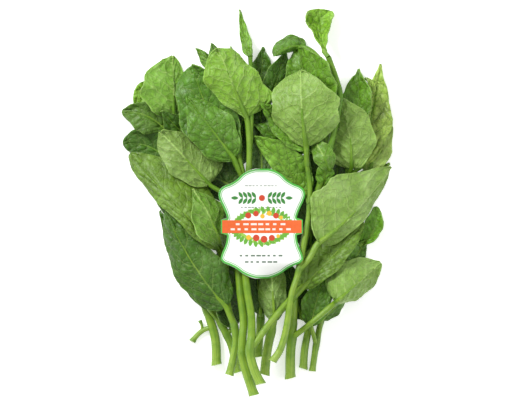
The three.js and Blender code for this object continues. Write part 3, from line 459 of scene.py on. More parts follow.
def row_place(i, rows):
    """Where row i lies along a blade. The rows gather towards its two ends, where it turns most."""
    even = i / rows
    return (1 - GATHERING) * even + GATHERING * (1 - np.cos(np.pi * even)) / 2


def grid_net(rows, columns):
    """The triangles of a grid of points, and the lines along its rows and columns."""
    def at(i, j):
        return i * (columns + 1) + j

    triangles = []
    for i in range(rows):
        for j in range(columns):
            triangles.append((at(i, j), at(i + 1, j), at(i + 1, j + 1)))
            triangles.append((at(i, j), at(i + 1, j + 1), at(i, j + 1)))
    lines = [[at(i, j) for j in range(columns + 1)] for i in range(rows + 1)]
    lines += [[at(i, j) for i in range(rows + 1)] for j in range(columns + 1)]
    return np.array(triangles), lines


print("rows of a blade lie at", row_place(np.arange(6), 5).round(2))

# %% Which cells of the map a net covers


def sheet_samples(points, triangles):
    """Every cell that a net covers: which points carry it, and with what share."""
    found = []
    for facet, triangle in enumerate(triangles):
        a, b, c = points[triangle]
        area = (b[0] - a[0]) * (c[1] - a[1]) - (c[0] - a[0]) * (b[1] - a[1])
        if area == 0:
            continue
        cell, x, y = cells_between(points[triangle].min(axis=0), points[triangle].max(axis=0))
        share_b = ((x - a[0]) * (c[1] - a[1]) - (c[0] - a[0]) * (y - a[1])) / area
        share_c = ((b[0] - a[0]) * (y - a[1]) - (x - a[0]) * (b[1] - a[1])) / area
        weights = np.stack([1 - share_b - share_c, share_b, share_c], axis=1)
        inside = (weights >= 0).all(axis=1)
        found.append((cell[inside], x[inside], y[inside], weights[inside], np.full(inside.sum(), facet)))
    cell, x, y, weights, facet = (np.concatenate(part) for part in zip(*found))
    return SimpleNamespace(cell=cell, x=x, y=y, weights=weights, facet=facet, carriers=triangles[facet])


def rod_samples(points, radii):
    """The same for a round rod, with half its height over each cell."""
    found = []
    for k in range(len(points) - 1):
        a, b = points[k], points[k + 1]
        reach = max(radii[k], radii[k + 1])
        cell, x, y = cells_between(np.minimum(a, b) - reach, np.maximum(a, b) + reach)
        run = ((x - a[0]) * (b[0] - a[0]) + (y - a[1]) * (b[1] - a[1])) / ((b - a) @ (b - a))
        share = np.clip(run, 0, 1)
        aside = np.hypot(x - a[0] - share * (b[0] - a[0]), y - a[1] - share * (b[1] - a[1]))
        radius = radii[k] + share * (radii[k + 1] - radii[k])
        near = aside < radius
        half = np.sqrt(radius[near] ** 2 - aside[near] ** 2)
        weights = np.stack([1 - share[near], share[near]], axis=1)
        found.append((cell[near], x[near], y[near], weights, half, np.tile([k, k + 1], (near.sum(), 1))))
    cell, x, y, weights, half, carriers = (np.concatenate(part) for part in zip(*found))
    return SimpleNamespace(cell=cell, x=x, y=y, weights=weights, half=half, carriers=carriers)


short_rod = rod_samples(np.array([[0.0, 0.0], [10.0, 0.0]]), [3.0, 3.0])
print("a rod 10 mm long and 6 mm thick covers", len(short_rod.cell), "cells")

# %% The net of a blade
STEM_KIND, LEAF_KIND, PETIOLE_KIND, CARD_KIND = "stem", "leaf", "petiole", "card"
BLADE_REACH = 0.6
RIB_END = 0.5
RIB_TIP_RADIUS = 0.7
LONG_BLADE, LONG_ROWS = 45, 8
MIDDLING_BLADE, MIDDLING_ROWS = 25, 6
SHORT_ROWS = 5
WIDE_BLADE, WIDE_COLUMNS = 20, 4
NARROW_COLUMNS = 2


def blade_width(one):
    return max(one.left) + max(one.right)


def blade_net(one):
    length, width = blade_length(one), blade_width(one)
    shorter = MIDDLING_ROWS if length > MIDDLING_BLADE else SHORT_ROWS
    rows = LONG_ROWS if length > LONG_BLADE and not one.hidden else shorter
    columns = WIDE_COLUMNS if width > WIDE_BLADE and not one.hidden else NARROW_COLUMNS
    grids = np.meshgrid(np.arange(rows + 1), np.arange(columns + 1), indexing="ij")
    i, j = (grid.ravel() for grid in grids)
    along, across = row_place(i, rows), 2 * j / columns - 1
    points = blade_point(one, along, across)
    triangles, lines = grid_net(rows, columns)
    samples = sheet_samples(points, triangles)
    t = (samples.weights * along[samples.carriers]).sum(axis=1)
    side = (samples.weights * across[samples.carriers]).sum(axis=1)
    rib = one.petiole + (RIB_TIP_RADIUS - one.petiole) * np.minimum(1, t / RIB_END)
    on_rib = np.abs(side) * half_width(one, t, side) < rib + CELL / 2
    samples.half = np.where(on_rib, np.maximum(BLADE_REACH, rib), BLADE_REACH)
    return SimpleNamespace(kind=LEAF_KIND, rows=rows, columns=columns, points=points, triangles=triangles,
        rest=blade_rest(one, along, across), bends=bends_of(points, lines), samples=samples)


print("a long wide blade has", (LONG_ROWS + 1) * (WIDE_COLUMNS + 1), "points")

# %% The nets of rods and of the card


def rod_net(kind, points, radii):
    points, radii = np.array(points, float), np.array(radii, float)
    return SimpleNamespace(kind=kind, points=points, radii=radii, triangles=None,
        rest=np.zeros(len(points)), bends=bends_of(points, [range(len(points))]),
        samples=rod_samples(points, radii))


def card_net():
    rows = len(CARD_STATIONS) - 1
    points = np.array([(CARD_AXIS - (2 * j / CARD_COLUMNS - 1) * half, CARD_BOTTOM + up)
                       for up, half in CARD_STATIONS for j in range(CARD_COLUMNS + 1)])
    triangles, lines = grid_net(rows, CARD_COLUMNS)
    samples = sheet_samples(points, triangles)
    samples.half = np.full(len(samples.cell), BLADE_REACH)
    return SimpleNamespace(kind=CARD_KIND, rows=rows, columns=CARD_COLUMNS, points=points,
        triangles=triangles, rest=np.zeros(len(points)), bends=bends_of(points, lines), samples=samples)


print("the card has", (CARD_COLUMNS + 1) * len(CARD_STATIONS), "points")

# %% [markdown]
# ## Settling
#
# In each step a piece sinks a little, its lines spring back towards straight, and whatever has entered
# the pile is pushed up again. Stiff pieces get more passes of the spring. A true simulation would also
# know weight and speed, but only the place where a piece comes to rest is wanted here.

# %% Settling one piece
SETTLE_STEPS = 140
SINK_PER_STEP = 0.12
STEEPEST = 3
BEND_PASSES = {LEAF_KIND: 4, STEM_KIND: 14, PETIOLE_KIND: 3, CARD_KIND: 40}


def half_heights(net, heights):
    """Half the upright thickness at each sample: a sloping sheet is taller than a level one."""
    if net.triangles is None:
        return net.samples.half
    p, q, r = (net.points[net.triangles[:, k]] for k in range(3))
    rise, climb = (heights[net.triangles[:, k]] - heights[net.triangles[:, 0]] for k in (1, 2))
    area = (q[:, 0] - p[:, 0]) * (r[:, 1] - p[:, 1]) - (r[:, 0] - p[:, 0]) * (q[:, 1] - p[:, 1])
    area = np.where(area == 0, 1, area)
    slope_x = (rise * (r[:, 1] - p[:, 1]) - climb * (q[:, 1] - p[:, 1])) / area
    slope_y = (climb * (q[:, 0] - p[:, 0]) - rise * (r[:, 0] - p[:, 0])) / area
    steepness = np.minimum(STEEPEST, np.sqrt(1 + slope_x ** 2 + slope_y ** 2))
    return net.samples.half * steepness[net.samples.facet]


def height_over(net, heights):
    """The height of the piece's middle over each cell."""
    return (net.samples.weights * heights[net.samples.carriers]).sum(axis=1)


def spring(net, lift):
    """Evens out the lift along every line of the net, in place."""
    a, b, c, share = net.bends
    size = len(lift)
    count = np.bincount(np.concatenate([a, b, c]), minlength=size)
    for _ in range(BEND_PASSES[net.kind]):
        bend = lift[b] - (1 - share) * lift[a] - share * lift[c]
        step = bend / (1 + share ** 2 + (1 - share) ** 2)
        change = np.bincount(a, step * (1 - share), size) + np.bincount(c, step * share, size)
        change -= np.bincount(b, step, size)
        lift += change / np.maximum(count, 1)


def push_up(net, lift, floors):
    """Raises the points that carry a cell where the piece is below its floor, in place."""
    heights = net.rest + lift
    short = floors + half_heights(net, heights) - height_over(net, heights)
    low = short > 0
    weights = net.samples.weights[low]
    needed = short[low, None] * weights / (weights ** 2).sum(axis=1, keepdims=True)
    push = np.zeros(len(lift))
    np.maximum.at(push, net.samples.carriers[low], needed)
    lift += push


def settle(net, floors, pins=(), bounds=()):
    """pins fixes the heights of some points, and bounds keeps others between two heights."""
    lift = np.zeros(len(net.rest))

    def hold():
        for v, height in pins:
            lift[v] = height - net.rest[v]
        for v, low, high in bounds:
            lift[v] = min(max(lift[v], low - net.rest[v]), high - net.rest[v])

    hold()
    push_up(net, lift, floors)
    for _ in range(SETTLE_STEPS):
        lift -= SINK_PER_STEP
        hold()
        spring(net, lift)
        hold()
        push_up(net, lift, floors)
    net.heights = net.rest + lift


def add_tops(tops, net):
    """Enters a laid piece in the height map."""
    np.maximum.at(tops, net.samples.cell, height_over(net, net.heights) + half_heights(net, net.heights))


print(f"a piece may sink {SETTLE_STEPS * SINK_PER_STEP:.1f} mm in {SETTLE_STEPS} steps")

# %% Laying a stalk
GAP = 1.25
OWN_GAP = 0.8
JOINT_RADIUS = 9
BASE_RISE = 4
BASE_DROP = 0.5
PETIOLE_STEPS = 2


def rod_place(rod, place):
    """The point of a rod nearest to a place in plan, and the rod's height there."""
    place = np.array(place, float)
    best = None
    for k in range(len(rod.points) - 1):
        a, b = rod.points[k], rod.points[k + 1]
        share = min(1, max(0, ((place - a) @ (b - a)) / ((b - a) @ (b - a))))
        at = a + share * (b - a)
        aside = np.linalg.norm(place - at)
        if best is None or aside < best[0]:
            best = aside, at, rod.heights[k] + share * (rod.heights[k + 1] - rod.heights[k])
    return best[1], best[2]


def lay_petiole(one, blade, stem, below):
    start, height = rod_place(stem, one.root)
    middle = one.via or (start + np.array(one.base)) / 2
    points, _ = curve_through(start, middle, one.base, np.arange(PETIOLE_STEPS + 1) / PETIOLE_STEPS)
    net = rod_net(PETIOLE_KIND, points, [one.petiole] * len(points))
    pins = [(0, height), (PETIOLE_STEPS, blade.heights[blade.columns // 2])]
    settle(net, below[net.samples.cell] + GAP, pins)
    return net


print("clear height between two leafy stems:", GAP, "mm, within one:", OWN_GAP, "mm")

# %% Laying one leafy stem


def taper(radii, points):
    return np.linspace(radii[0], radii[1], len(points))


def base_bounds(one, blade, stem):
    """The petiole of a leaf keeps the blade's base near the height of its joint on the stem."""
    if one.under:
        return []
    joint = rod_place(stem, one.root)[1]
    low = joint - BASE_DROP * math.dist(one.base, one.root)
    return [(v, low, joint + BASE_RISE) for v in range(blade.columns + 1)]


def lay_stem(shoot, tops):
    """Lays the leaves below the stem, the stem, the other leaves and the stalks, in this order."""
    below = widened(tops)
    own = new_map(-np.inf)
    stem = rod_net(STEM_KIND, shoot.path, taper(shoot.radii, shoot.path))
    blades = {}

    def lay_leaf(one):
        blade = blade_net(one)
        cell = blade.samples.cell
        aside = np.hypot(blade.samples.x - one.base[0], blade.samples.y - one.base[1])
        over_own = np.where(aside < JOINT_RADIUS, -np.inf, widened(own)[cell] + OWN_GAP)
        settle(blade, np.maximum(below[cell] + GAP, over_own), bounds=base_bounds(one, blade, stem))
        add_tops(own, blade)
        blades[one.name] = blade

    for n, one in enumerate(shoot.leaves):
        one.phase = n * WAVE_OFFSET
    for one in (one for one in shoot.leaves if one.under):
        lay_leaf(one)
    settle(stem, np.maximum(below[stem.samples.cell] + GAP, widened(own)[stem.samples.cell] + OWN_GAP))
    add_tops(own, stem)
    for one in (one for one in shoot.leaves if not one.under):
        lay_leaf(one)
    petioles = {one.name: lay_petiole(one, blades[one.name], stem, below) for one in shoot.leaves}
    for petiole in petioles.values():
        add_tops(own, petiole)
    sprig = None
    if shoot.sprig:
        sprig = rod_net(PETIOLE_KIND, shoot.sprig.path, taper(shoot.sprig.radii, shoot.sprig.path))
        pins = [(0, rod_place(stem, shoot.sprig.path[0])[1])]
        settle(sprig, below[sprig.samples.cell] + GAP, pins)
    np.maximum(tops, own, out=tops)
    return SimpleNamespace(shoot=shoot, stem=stem, blades=blades, petioles=petioles, sprig=sprig)


# %% Lay the whole bunch, and the card last
pile = new_map(-GAP)
laid_stems = [lay_stem(shoot, pile) for shoot in LEAFY_STEMS]
card = card_net()
settle(card, widened(pile)[card.samples.cell] + GAP)
for laid in laid_stems:
    top = max(blade.heights.max() for blade in laid.blades.values())
    print(f"{laid.shoot.name}: {len(laid.blades)} leaves, up to {top:.1f} mm")
print(f"card: {card.heights.min():.1f} to {card.heights.max():.1f} mm")

# %% [markdown]
# ## From nets to smooth surfaces
#
# The nets are coarse, so a smooth curve is drawn through their heights. Between two known heights the
# curve leaves and arrives with the slope that their neighbours suggest, which is a cubic Hermite curve.
# A Subdivision Surface would also smooth the net, but it pulls the surface off the known heights, and
# the leaves would then run through each other.

# %% A smooth curve through known heights


def smooth_through(places, values, wanted):
    """Cubic curves through the rows of values, which stand at places, read at the wanted places."""
    places, wanted = np.asarray(places, float), np.asarray(wanted, float)
    slopes = np.gradient(values, places, axis=0)
    k = np.clip(np.searchsorted(places, wanted, side="right") - 1, 0, len(places) - 2)
    step = places[k + 1] - places[k]
    u = ((wanted - places[k]) / step).reshape((-1,) + (1,) * (values.ndim - 1))
    step = step.reshape(u.shape)
    start, end = values[k], values[k + 1]
    leave, arrive = slopes[k] * step, slopes[k + 1] * step
    return ((2 * u - 3) * u * u + 1) * start + (3 - 2 * u) * u * u * end \
        + ((u - 2) * u + 1) * u * leave + (u - 1) * u * u * arrive


def sheet_heights(net, row_places, along, across):
    """The heights of a laid sheet on a finer grid: along by across."""
    coarse = net.heights.reshape(net.rows + 1, net.columns + 1)
    by_row = smooth_through(row_places, coarse, along)
    return smooth_through(np.linspace(-1, 1, net.columns + 1), by_row.T, across).T


print("between 0 and 1 the curve passes", smooth_through([0, 1, 2], np.array([0.0, 1.0, 0.0]), [0.5])[0])

# %% Small helpers for meshes


def new_mesh_object(name, points, edges=(), faces=()):
    mesh = bpy.data.meshes.new(name)
    mesh.from_pydata([tuple(p) for p in points], list(edges), list(faces))
    piece = bpy.data.objects.new(name, mesh)
    bpy.context.collection.objects.link(piece)
    return piece


def store(piece, name, values, kind="FLOAT"):
    """Keeps one value for each point of the mesh, for its node tree and its material."""
    values = np.ascontiguousarray(values, np.float32)
    field = {"FLOAT": "value", "FLOAT_VECTOR": "vector", "FLOAT_COLOR": "color"}[kind]
    piece.data.attributes.new(name, kind, "POINT").data.foreach_set(field, values.ravel())


def grid_faces(rows, columns):
    i, j = (grid.ravel() for grid in np.meshgrid(np.arange(rows), np.arange(columns), indexing="ij"))
    corner = i * (columns + 1) + j
    return np.stack([corner, corner + columns + 1, corner + columns + 2, corner + 1], axis=1)


print("a grid of 3 by 2 has", len(grid_faces(3, 2)), "faces")

# %% [markdown]
# ## Writing formulas in a node tree
#
# Both the shape of a leaf's veins and their colour follow one formula, so it is written once and built
# into a geometry tree and a shader tree alike. Placing Math nodes by hand is slow to read. A Wire stands
# for one value in a tree, and adding or multiplying two wires places the Math node that does it.

# %% A wire is one value in a node tree


def put(tree, value, socket):
    """Feeds a socket with a wire, or sets it to a plain value."""
    if isinstance(value, Wire):
        tree.links.new(value.socket, socket)
    else:
        socket.default_value = value


def feed(tree, node, **values):
    """Feeds the named sockets of a node. Spaces in their names are written as underscores."""
    for label, value in values.items():
        put(tree, value, node.inputs[label.replace("_", " ")])
    return node


class Wire:
    """One value in a node tree. Adding or multiplying wires places the Math node that does it."""

    def __init__(self, tree, socket):
        self.tree, self.socket = tree, socket

    def math(self, operation, *others):
        node = self.tree.nodes.new("ShaderNodeMath")
        node.operation = operation
        for socket, value in zip(node.inputs, (self, *others)):
            put(self.tree, value, socket)
        return Wire(self.tree, node.outputs[0])

    def __add__(self, other):
        return self.math("ADD", other)

    def __sub__(self, other):
        return self.math("SUBTRACT", other)

    def __mul__(self, other):
        return self.math("MULTIPLY", other)

    def __truediv__(self, other):
        return self.math("DIVIDE", other)

    def __pow__(self, other):
        return self.math("POWER", other)

    def smooth(self, low, high, at_low=0.0, at_high=1.0):
        """Runs smoothly from at_low to at_high while this wire goes from low to high."""
        node = self.tree.nodes.new("ShaderNodeMapRange")
        node.interpolation_type = "SMOOTHSTEP"
        for socket, value in zip(node.inputs, (self, low, high, at_low, at_high)):
            put(self.tree, value, socket)
        return Wire(self.tree, node.outputs[0])


def noise(tree, place, scale, detail=2.0, roughness=0.5):
    node = tree.nodes.new("ShaderNodeTexNoise")
    feed(tree, node, Vector=place, Scale=scale, Detail=detail, Roughness=roughness)
    return Wire(tree, node.outputs[0])


def scaled(tree, vector, scale):
    node = tree.nodes.new("ShaderNodeVectorMath")
    node.operation = "SCALE"
    put(tree, vector, node.inputs[0])
    put(tree, scale, node.inputs["Scale"])
    return Wire(tree, node.outputs[0])


def moved(tree, vector, by):
    node = tree.nodes.new("ShaderNodeVectorMath")
    node.operation = "ADD"
    put(tree, vector, node.inputs[0])
    put(tree, by, node.inputs[1])
    return Wire(tree, node.outputs[0])


def from_edge_of_cells(tree, place, scale):
    """How far a place is from the border of its cell, in a pattern of cells like crazed glass."""
    node = tree.nodes.new("ShaderNodeTexVoronoi")
    node.feature = "DISTANCE_TO_EDGE"
    feed(tree, node, Vector=place, Scale=scale)
    return Wire(tree, node.outputs["Distance"])


print("formulas can now be written as sums of wires")

# %% [markdown]
# ## The veins of a leaf
#
# A malabar spinach leaf has one strong midrib and a few pairs of side veins. They leave the rib at an
# angle and arch towards the tip, and smaller ones join them into a net. In each mesh of that net the
# flesh puffs up like a quilt. On the upper face the veins lie in furrows; on the pale underside they
# stand out. Following one side vein from the rib to the margin, along grows in a fixed way with across,
# so the vein is where that difference, times the number of veins, is a whole number. The net is a
# Voronoi pattern, whose cells look like it. Carving each vein by hand would look as good and take days.

# %% The vein pattern, for any tree
VEIN_PAIRS = 4.7
VEIN_ARCH, ARCH_CURVE = 0.5, 1.35
SIDE_OFFSET = 0.3
WANDER, WANDERS_PER_METRE = 1.5, 48.0
RIB_AT_BASE, RIB_AT_TIP = 0.0014, 0.0004
MESHES_PER_METRE = 165.0
SWAY, SWAYS_PER_METRE = 0.005, 160.0
MESH_PUFF, PANEL_PUFF = 0.68, 0.32


def vein_pattern(tree, along, across, reach, place):
    """Masks for the midrib, the side veins, the net between them and the flesh in its meshes."""
    wander = noise(tree, place, WANDERS_PER_METRE, 3.0) - 0.5
    aside = across.math("ABSOLUTE")
    arch = aside ** ARCH_CURVE * VEIN_ARCH
    turn = (along - arch * along.smooth(0.2, 1.0, 1.0, 0.55)) * VEIN_PAIRS
    turn = turn + across.math("SIGN") * SIDE_OFFSET + wander * WANDER
    off = turn.math("FRACT") - 0.5
    panel = (off * math.pi).math("SINE") ** 2.0
    thin = aside.smooth(0.0, 1.0, 0.11, 0.05)
    side_vein = off.math("ABSOLUTE").smooth(0.0, thin, 1.0, 0.0)
    side_vein = side_vein * aside.smooth(0.75, 1.0, 1.0, 0.0) * along.smooth(0.0, 0.08)
    rib_width = along.smooth(0.0, 1.0, RIB_AT_BASE, RIB_AT_TIP)
    midrib = (reach.math("ABSOLUTE") / rib_width).smooth(0.2, 1.0, 1.0, 0.0)
    sway = feed(tree, tree.nodes.new("ShaderNodeTexNoise"), Vector=place, Scale=SWAYS_PER_METRE)
    swayed = moved(tree, place, scaled(tree, Wire(tree, sway.outputs["Color"]), SWAY))
    gap = from_edge_of_cells(tree, swayed, MESHES_PER_METRE)
    net = gap.smooth(0.0, 0.09, 1.0, 0.0)
    puff = gap.smooth(0.0, 0.4) * MESH_PUFF + panel * PANEL_PUFF
    return midrib, side_vein, net, puff * aside.smooth(0.0, 0.12, 0.3, 1.0)


print(f"meshes of the net are about {1 / MESHES_PER_METRE / MM:.0f} mm wide")

# %% [markdown]
# ## The blade as Geometry Nodes
#
# The blade starts as a sheet without thickness that already lies where it should. The tree raises the
# quilting, sinks or raises the veins, ruffles the margin a little and then gives the sheet its flesh: it
# is extruded along its own normals and closed underneath with its own copy, turned over. A Solidify
# modifier would do the last step too, but the tree also has to tell the two faces apart, because the
# upper face and the underside of a leaf are two finishes.

# %% Helpers for trees


def new_tree(name, kind, takes, gives):
    """An empty tree with named sockets, the wires that come in and the node where they go out."""
    tree = bpy.data.node_groups.new(name, kind)
    for way, sockets in (("INPUT", takes), ("OUTPUT", gives)):
        for label, value in sockets.items():
            tree.interface.new_socket(label, in_out=way, socket_type="NodeSocket" + value)
    start, end = tree.nodes.new("NodeGroupInput"), tree.nodes.new("NodeGroupOutput")
    return tree, {socket.name: Wire(tree, socket) for socket in start.outputs if socket.name}, end


def node_in(tree, kind, geometry=None, **values):
    """Adds a node, feeds its first socket with a geometry, and sets the named sockets."""
    node = tree.nodes.new(kind)
    if geometry is not None:
        tree.links.new(geometry, node.inputs[0])
    return feed(tree, node, **values)


def stored(tree, name, kind="FLOAT"):
    """The value that a point keeps under this name."""
    node = feed(tree, tree.nodes.new("GeometryNodeInputNamedAttribute"), Name=name)
    node.data_type = kind
    return Wire(tree, node.outputs["Attribute"])


def finish_tree(tree, geometry, end):
    """Smooth faces and real geometry, which is what goes out."""
    smooth = node_in(tree, "GeometryNodeSetShadeSmooth", geometry)
    real = node_in(tree, "GeometryNodeRealizeInstances", smooth.outputs[0])
    tree.links.new(real.outputs[0], end.inputs[0])
    return tree


print("a tree ends in smooth, real geometry")

# %% The tree of a blade
WELD = 1e-6


def build_blade_tree():
    takes = dict.fromkeys(("Thickness", "Quilting", "Crumple", "Vein relief", "Ruffle"), "Float")
    takes = {"Geometry": "Geometry", **takes, "Upper face": "Material", "Underside": "Material"}
    tree, given, end = new_tree("Leaf blade", "GeometryNodeTree", takes, {"Geometry": "Geometry"})
    along, across, reach, facing = (stored(tree, name) for name in ("along", "across", "reach", "facing"))
    place = Wire(tree, tree.nodes.new("GeometryNodeInputPosition").outputs[0])
    midrib, side_vein, net, puff = vein_pattern(tree, along, across, reach, place)
    aside = across.math("ABSOLUTE")
    swell = puff * given["Quilting"] * aside.smooth(0.85, 1.0, 1.0, 0.4)
    crumple = (noise(tree, place, 85.0, 2.0) - 0.5) * given["Crumple"] * 2.0
    veins = (midrib * 1.4 + side_vein + net * 0.3) * given["Vein relief"]
    ruffle = (noise(tree, place, 70.0, 1.0) - 0.5) * given["Ruffle"] * aside ** 3.0 * 3.0
    rise = (swell - veins) * facing + crumple + ruffle
    normal = Wire(tree, tree.nodes.new("GeometryNodeInputNormal").outputs[0])
    shaped = node_in(tree, "GeometryNodeSetPosition", given["Geometry"].socket,
                     Offset=scaled(tree, normal, rise - given["Thickness"] * 0.5))
    upper = node_in(tree, "GeometryNodeExtrudeMesh", shaped.outputs[0], Individual=False,
                    Offset=scaled(tree, normal, given["Thickness"]), Offset_Scale=1.0)
    turned = node_in(tree, "GeometryNodeFlipFaces", shaped.outputs[0])
    both = tree.nodes.new("GeometryNodeJoinGeometry")
    for sheet, face, other in ((upper, "Upper face", "Underside"), (turned, "Underside", "Upper face")):
        painted = node_in(tree, "GeometryNodeSetMaterial", sheet.outputs[0], Material=given[face])
        swapped = node_in(tree, "GeometryNodeSetMaterial", painted.outputs[0], Material=given[other],
                          Selection=facing.math("LESS_THAN", 0.0))
        tree.links.new(swapped.outputs[0], both.inputs[0])
    closed = node_in(tree, "GeometryNodeMergeByDistance", both.outputs[0], Distance=WELD)
    return finish_tree(tree, closed.outputs[0], end)


blade_tree = build_blade_tree()
print("blade tree:", len(blade_tree.nodes), "nodes")

# %% [markdown]
# ## The stems as Geometry Nodes
#
# Stems and leaf stalks are round, juicy and a little uneven: they swell where a leaf grows out, carry a
# few shallow ridges and end in a clean cut, where the rind stands round paler flesh. Each starts as a
# line whose points know their radius. The tree turns the line into a curve, sweeps a circle along it,
# presses the ridges in, slants the cut end, because a knife rarely meets a stem squarely, and paints the
# cut. A Bevel on a curve object would give the round shape alone.

# %% The tree of the stems
FULL_TURN = 2 * math.pi
AT_CUT = 1e-5


def build_stem_tree():
    takes = {"Geometry": "Geometry", "Sides": "Int", "Ridges": "Int", "Ridge depth": "Float",
             "Cut rim": "Float", "Skin": "Material", "Cut flesh": "Material"}
    tree, given, end = new_tree("Stem", "GeometryNodeTree", takes, {"Geometry": "Geometry"})
    curve = node_in(tree, "GeometryNodeMeshToCurve", given["Geometry"].socket)
    ring = node_in(tree, "GeometryNodeCurvePrimitiveCircle", Resolution=given["Sides"], Radius=1.0)
    share = tree.nodes.new("GeometryNodeSplineParameter").outputs["Factor"]
    kept = node_in(tree, "GeometryNodeStoreNamedAttribute", ring.outputs["Curve"], Name="around",
                   Value=Wire(tree, share))
    swept = node_in(tree, "GeometryNodeCurveToMesh", curve.outputs[0], Scale=stored(tree, "radius"),
                    Profile_Curve=Wire(tree, kept.outputs[0]), Fill_Caps=True)
    around, radius = stored(tree, "around"), stored(tree, "radius")
    turn = (around * given["Ridges"] + stored(tree, "twist")) * FULL_TURN
    normal = Wire(tree, tree.nodes.new("GeometryNodeInputNormal").outputs[0])
    press = scaled(tree, normal, turn.math("COSINE") * given["Ridge depth"] * radius)
    ridged = node_in(tree, "GeometryNodeSetPosition", swept.outputs[0], Offset=press)
    slant = scaled(tree, stored(tree, "slant", "FLOAT_VECTOR"), (around * FULL_TURN).math("COSINE"))
    slanted = node_in(tree, "GeometryNodeSetPosition", ridged.outputs[0], Offset=slant)
    skinned = node_in(tree, "GeometryNodeSetMaterial", slanted.outputs[0], Material=given["Skin"])
    face = node_in(tree, "GeometryNodeExtrudeMesh", skinned.outputs[0], Offset_Scale=0.0,
                   Individual=False, Selection=stored(tree, "from_cut").math("LESS_THAN", AT_CUT))
    top = Wire(tree, face.outputs["Top"])
    rim = node_in(tree, "GeometryNodeScaleElements", face.outputs["Mesh"], Scale=given["Cut rim"],
                  Selection=top)
    flesh = node_in(tree, "GeometryNodeSetMaterial", rim.outputs[0], Material=given["Cut flesh"],
                    Selection=top)
    return finish_tree(tree, flesh.outputs[0], end)


stem_tree = build_stem_tree()
print("stem tree:", len(stem_tree.nodes), "nodes")

# %% [markdown]
# ## The finish of a leaf
#
# A leaf's upper face is deep green and waxy, so it throws soft highlights. Its underside is paler and
# duller, its veins show light against it, and in places pale patches of painted glare, a painted
# highlight, lie on it. Both share one pattern: tone, mottling, with the puffed flesh painted lighter as
# painted light, veins, painted shade in the furrows along them, the painted glare and a fine net of the
# smallest veins. That pattern is a node group with named inputs, placed in both materials with its own
# values. The tone comes from each leaf, because in a real bunch young leaves are yellower and old ones
# darker; the hidden leaves, seen only in the gaps, take the darkest tone as painted shade.

# %% Colours


def paint(red, green, blue):
    """A colour as it is read off a screen, 0 to 255, turned into the linear light that shaders use."""
    def linear(value):
        value = value / 255
        return value / 12.92 if value <= 0.04045 else ((value + 0.055) / 1.055) ** 2.4

    return (linear(red), linear(green), linear(blue), 1.0)


TONES = {
    # dark is painted shade: only the hidden leaves, seen in the gaps between the others, take it, so that
    # the gaps look shaded.
    "dark": paint(50, 90, 24),
    "deep": paint(72, 120, 34),
    "shade": paint(92, 134, 56),
    "moss": paint(86, 140, 40),
    "leaf": paint(94, 146, 46),
    "fresh": paint(110, 162, 54),
    "vivid": paint(112, 170, 54),
    "bright": paint(126, 180, 68),
    "lime": paint(138, 190, 66),
    "olive": paint(109, 148, 54),
    "grey": paint(128, 164, 88),
    "ash": paint(152, 192, 106),
    "straw": paint(173, 205, 120),
    "pale": paint(139, 180, 92),
}
print("tones:", ", ".join(TONES))

# %% Helpers for materials


def shader_value(tree, name):
    """The value that the mesh keeps under this name."""
    node = tree.nodes.new("ShaderNodeAttribute")
    node.attribute_name = name
    return Wire(tree, node.outputs["Fac"])


def object_place(tree):
    return Wire(tree, tree.nodes.new("ShaderNodeTexCoord").outputs["Object"])


def mix(tree, factor, first, second, how="MIX"):
    node = tree.nodes.new("ShaderNodeMix")
    node.data_type = "RGBA"
    node.blend_type = how
    put(tree, factor, node.inputs[0])
    put(tree, first, node.inputs[6])
    put(tree, second, node.inputs[7])
    return Wire(tree, node.outputs[2])


def grey(tree, value):
    """A factor as a grey colour, to multiply another colour with."""
    node = feed(tree, tree.nodes.new("ShaderNodeCombineColor"), Red=value, Green=value, Blue=value)
    return Wire(tree, node.outputs[0])


print("attributes can be read in materials now")

# %% The shared pattern of a leaf's two faces
FINEST_MESHES_PER_METRE = 460.0
CLOUDS_PER_METRE = 38.0
PATCHES_PER_METRE = 160.0
GRAINS_PER_METRE = 900.0
# The pale colour of the painted glare, a painted highlight on the leaves.
WAX = paint(188, 210, 150)


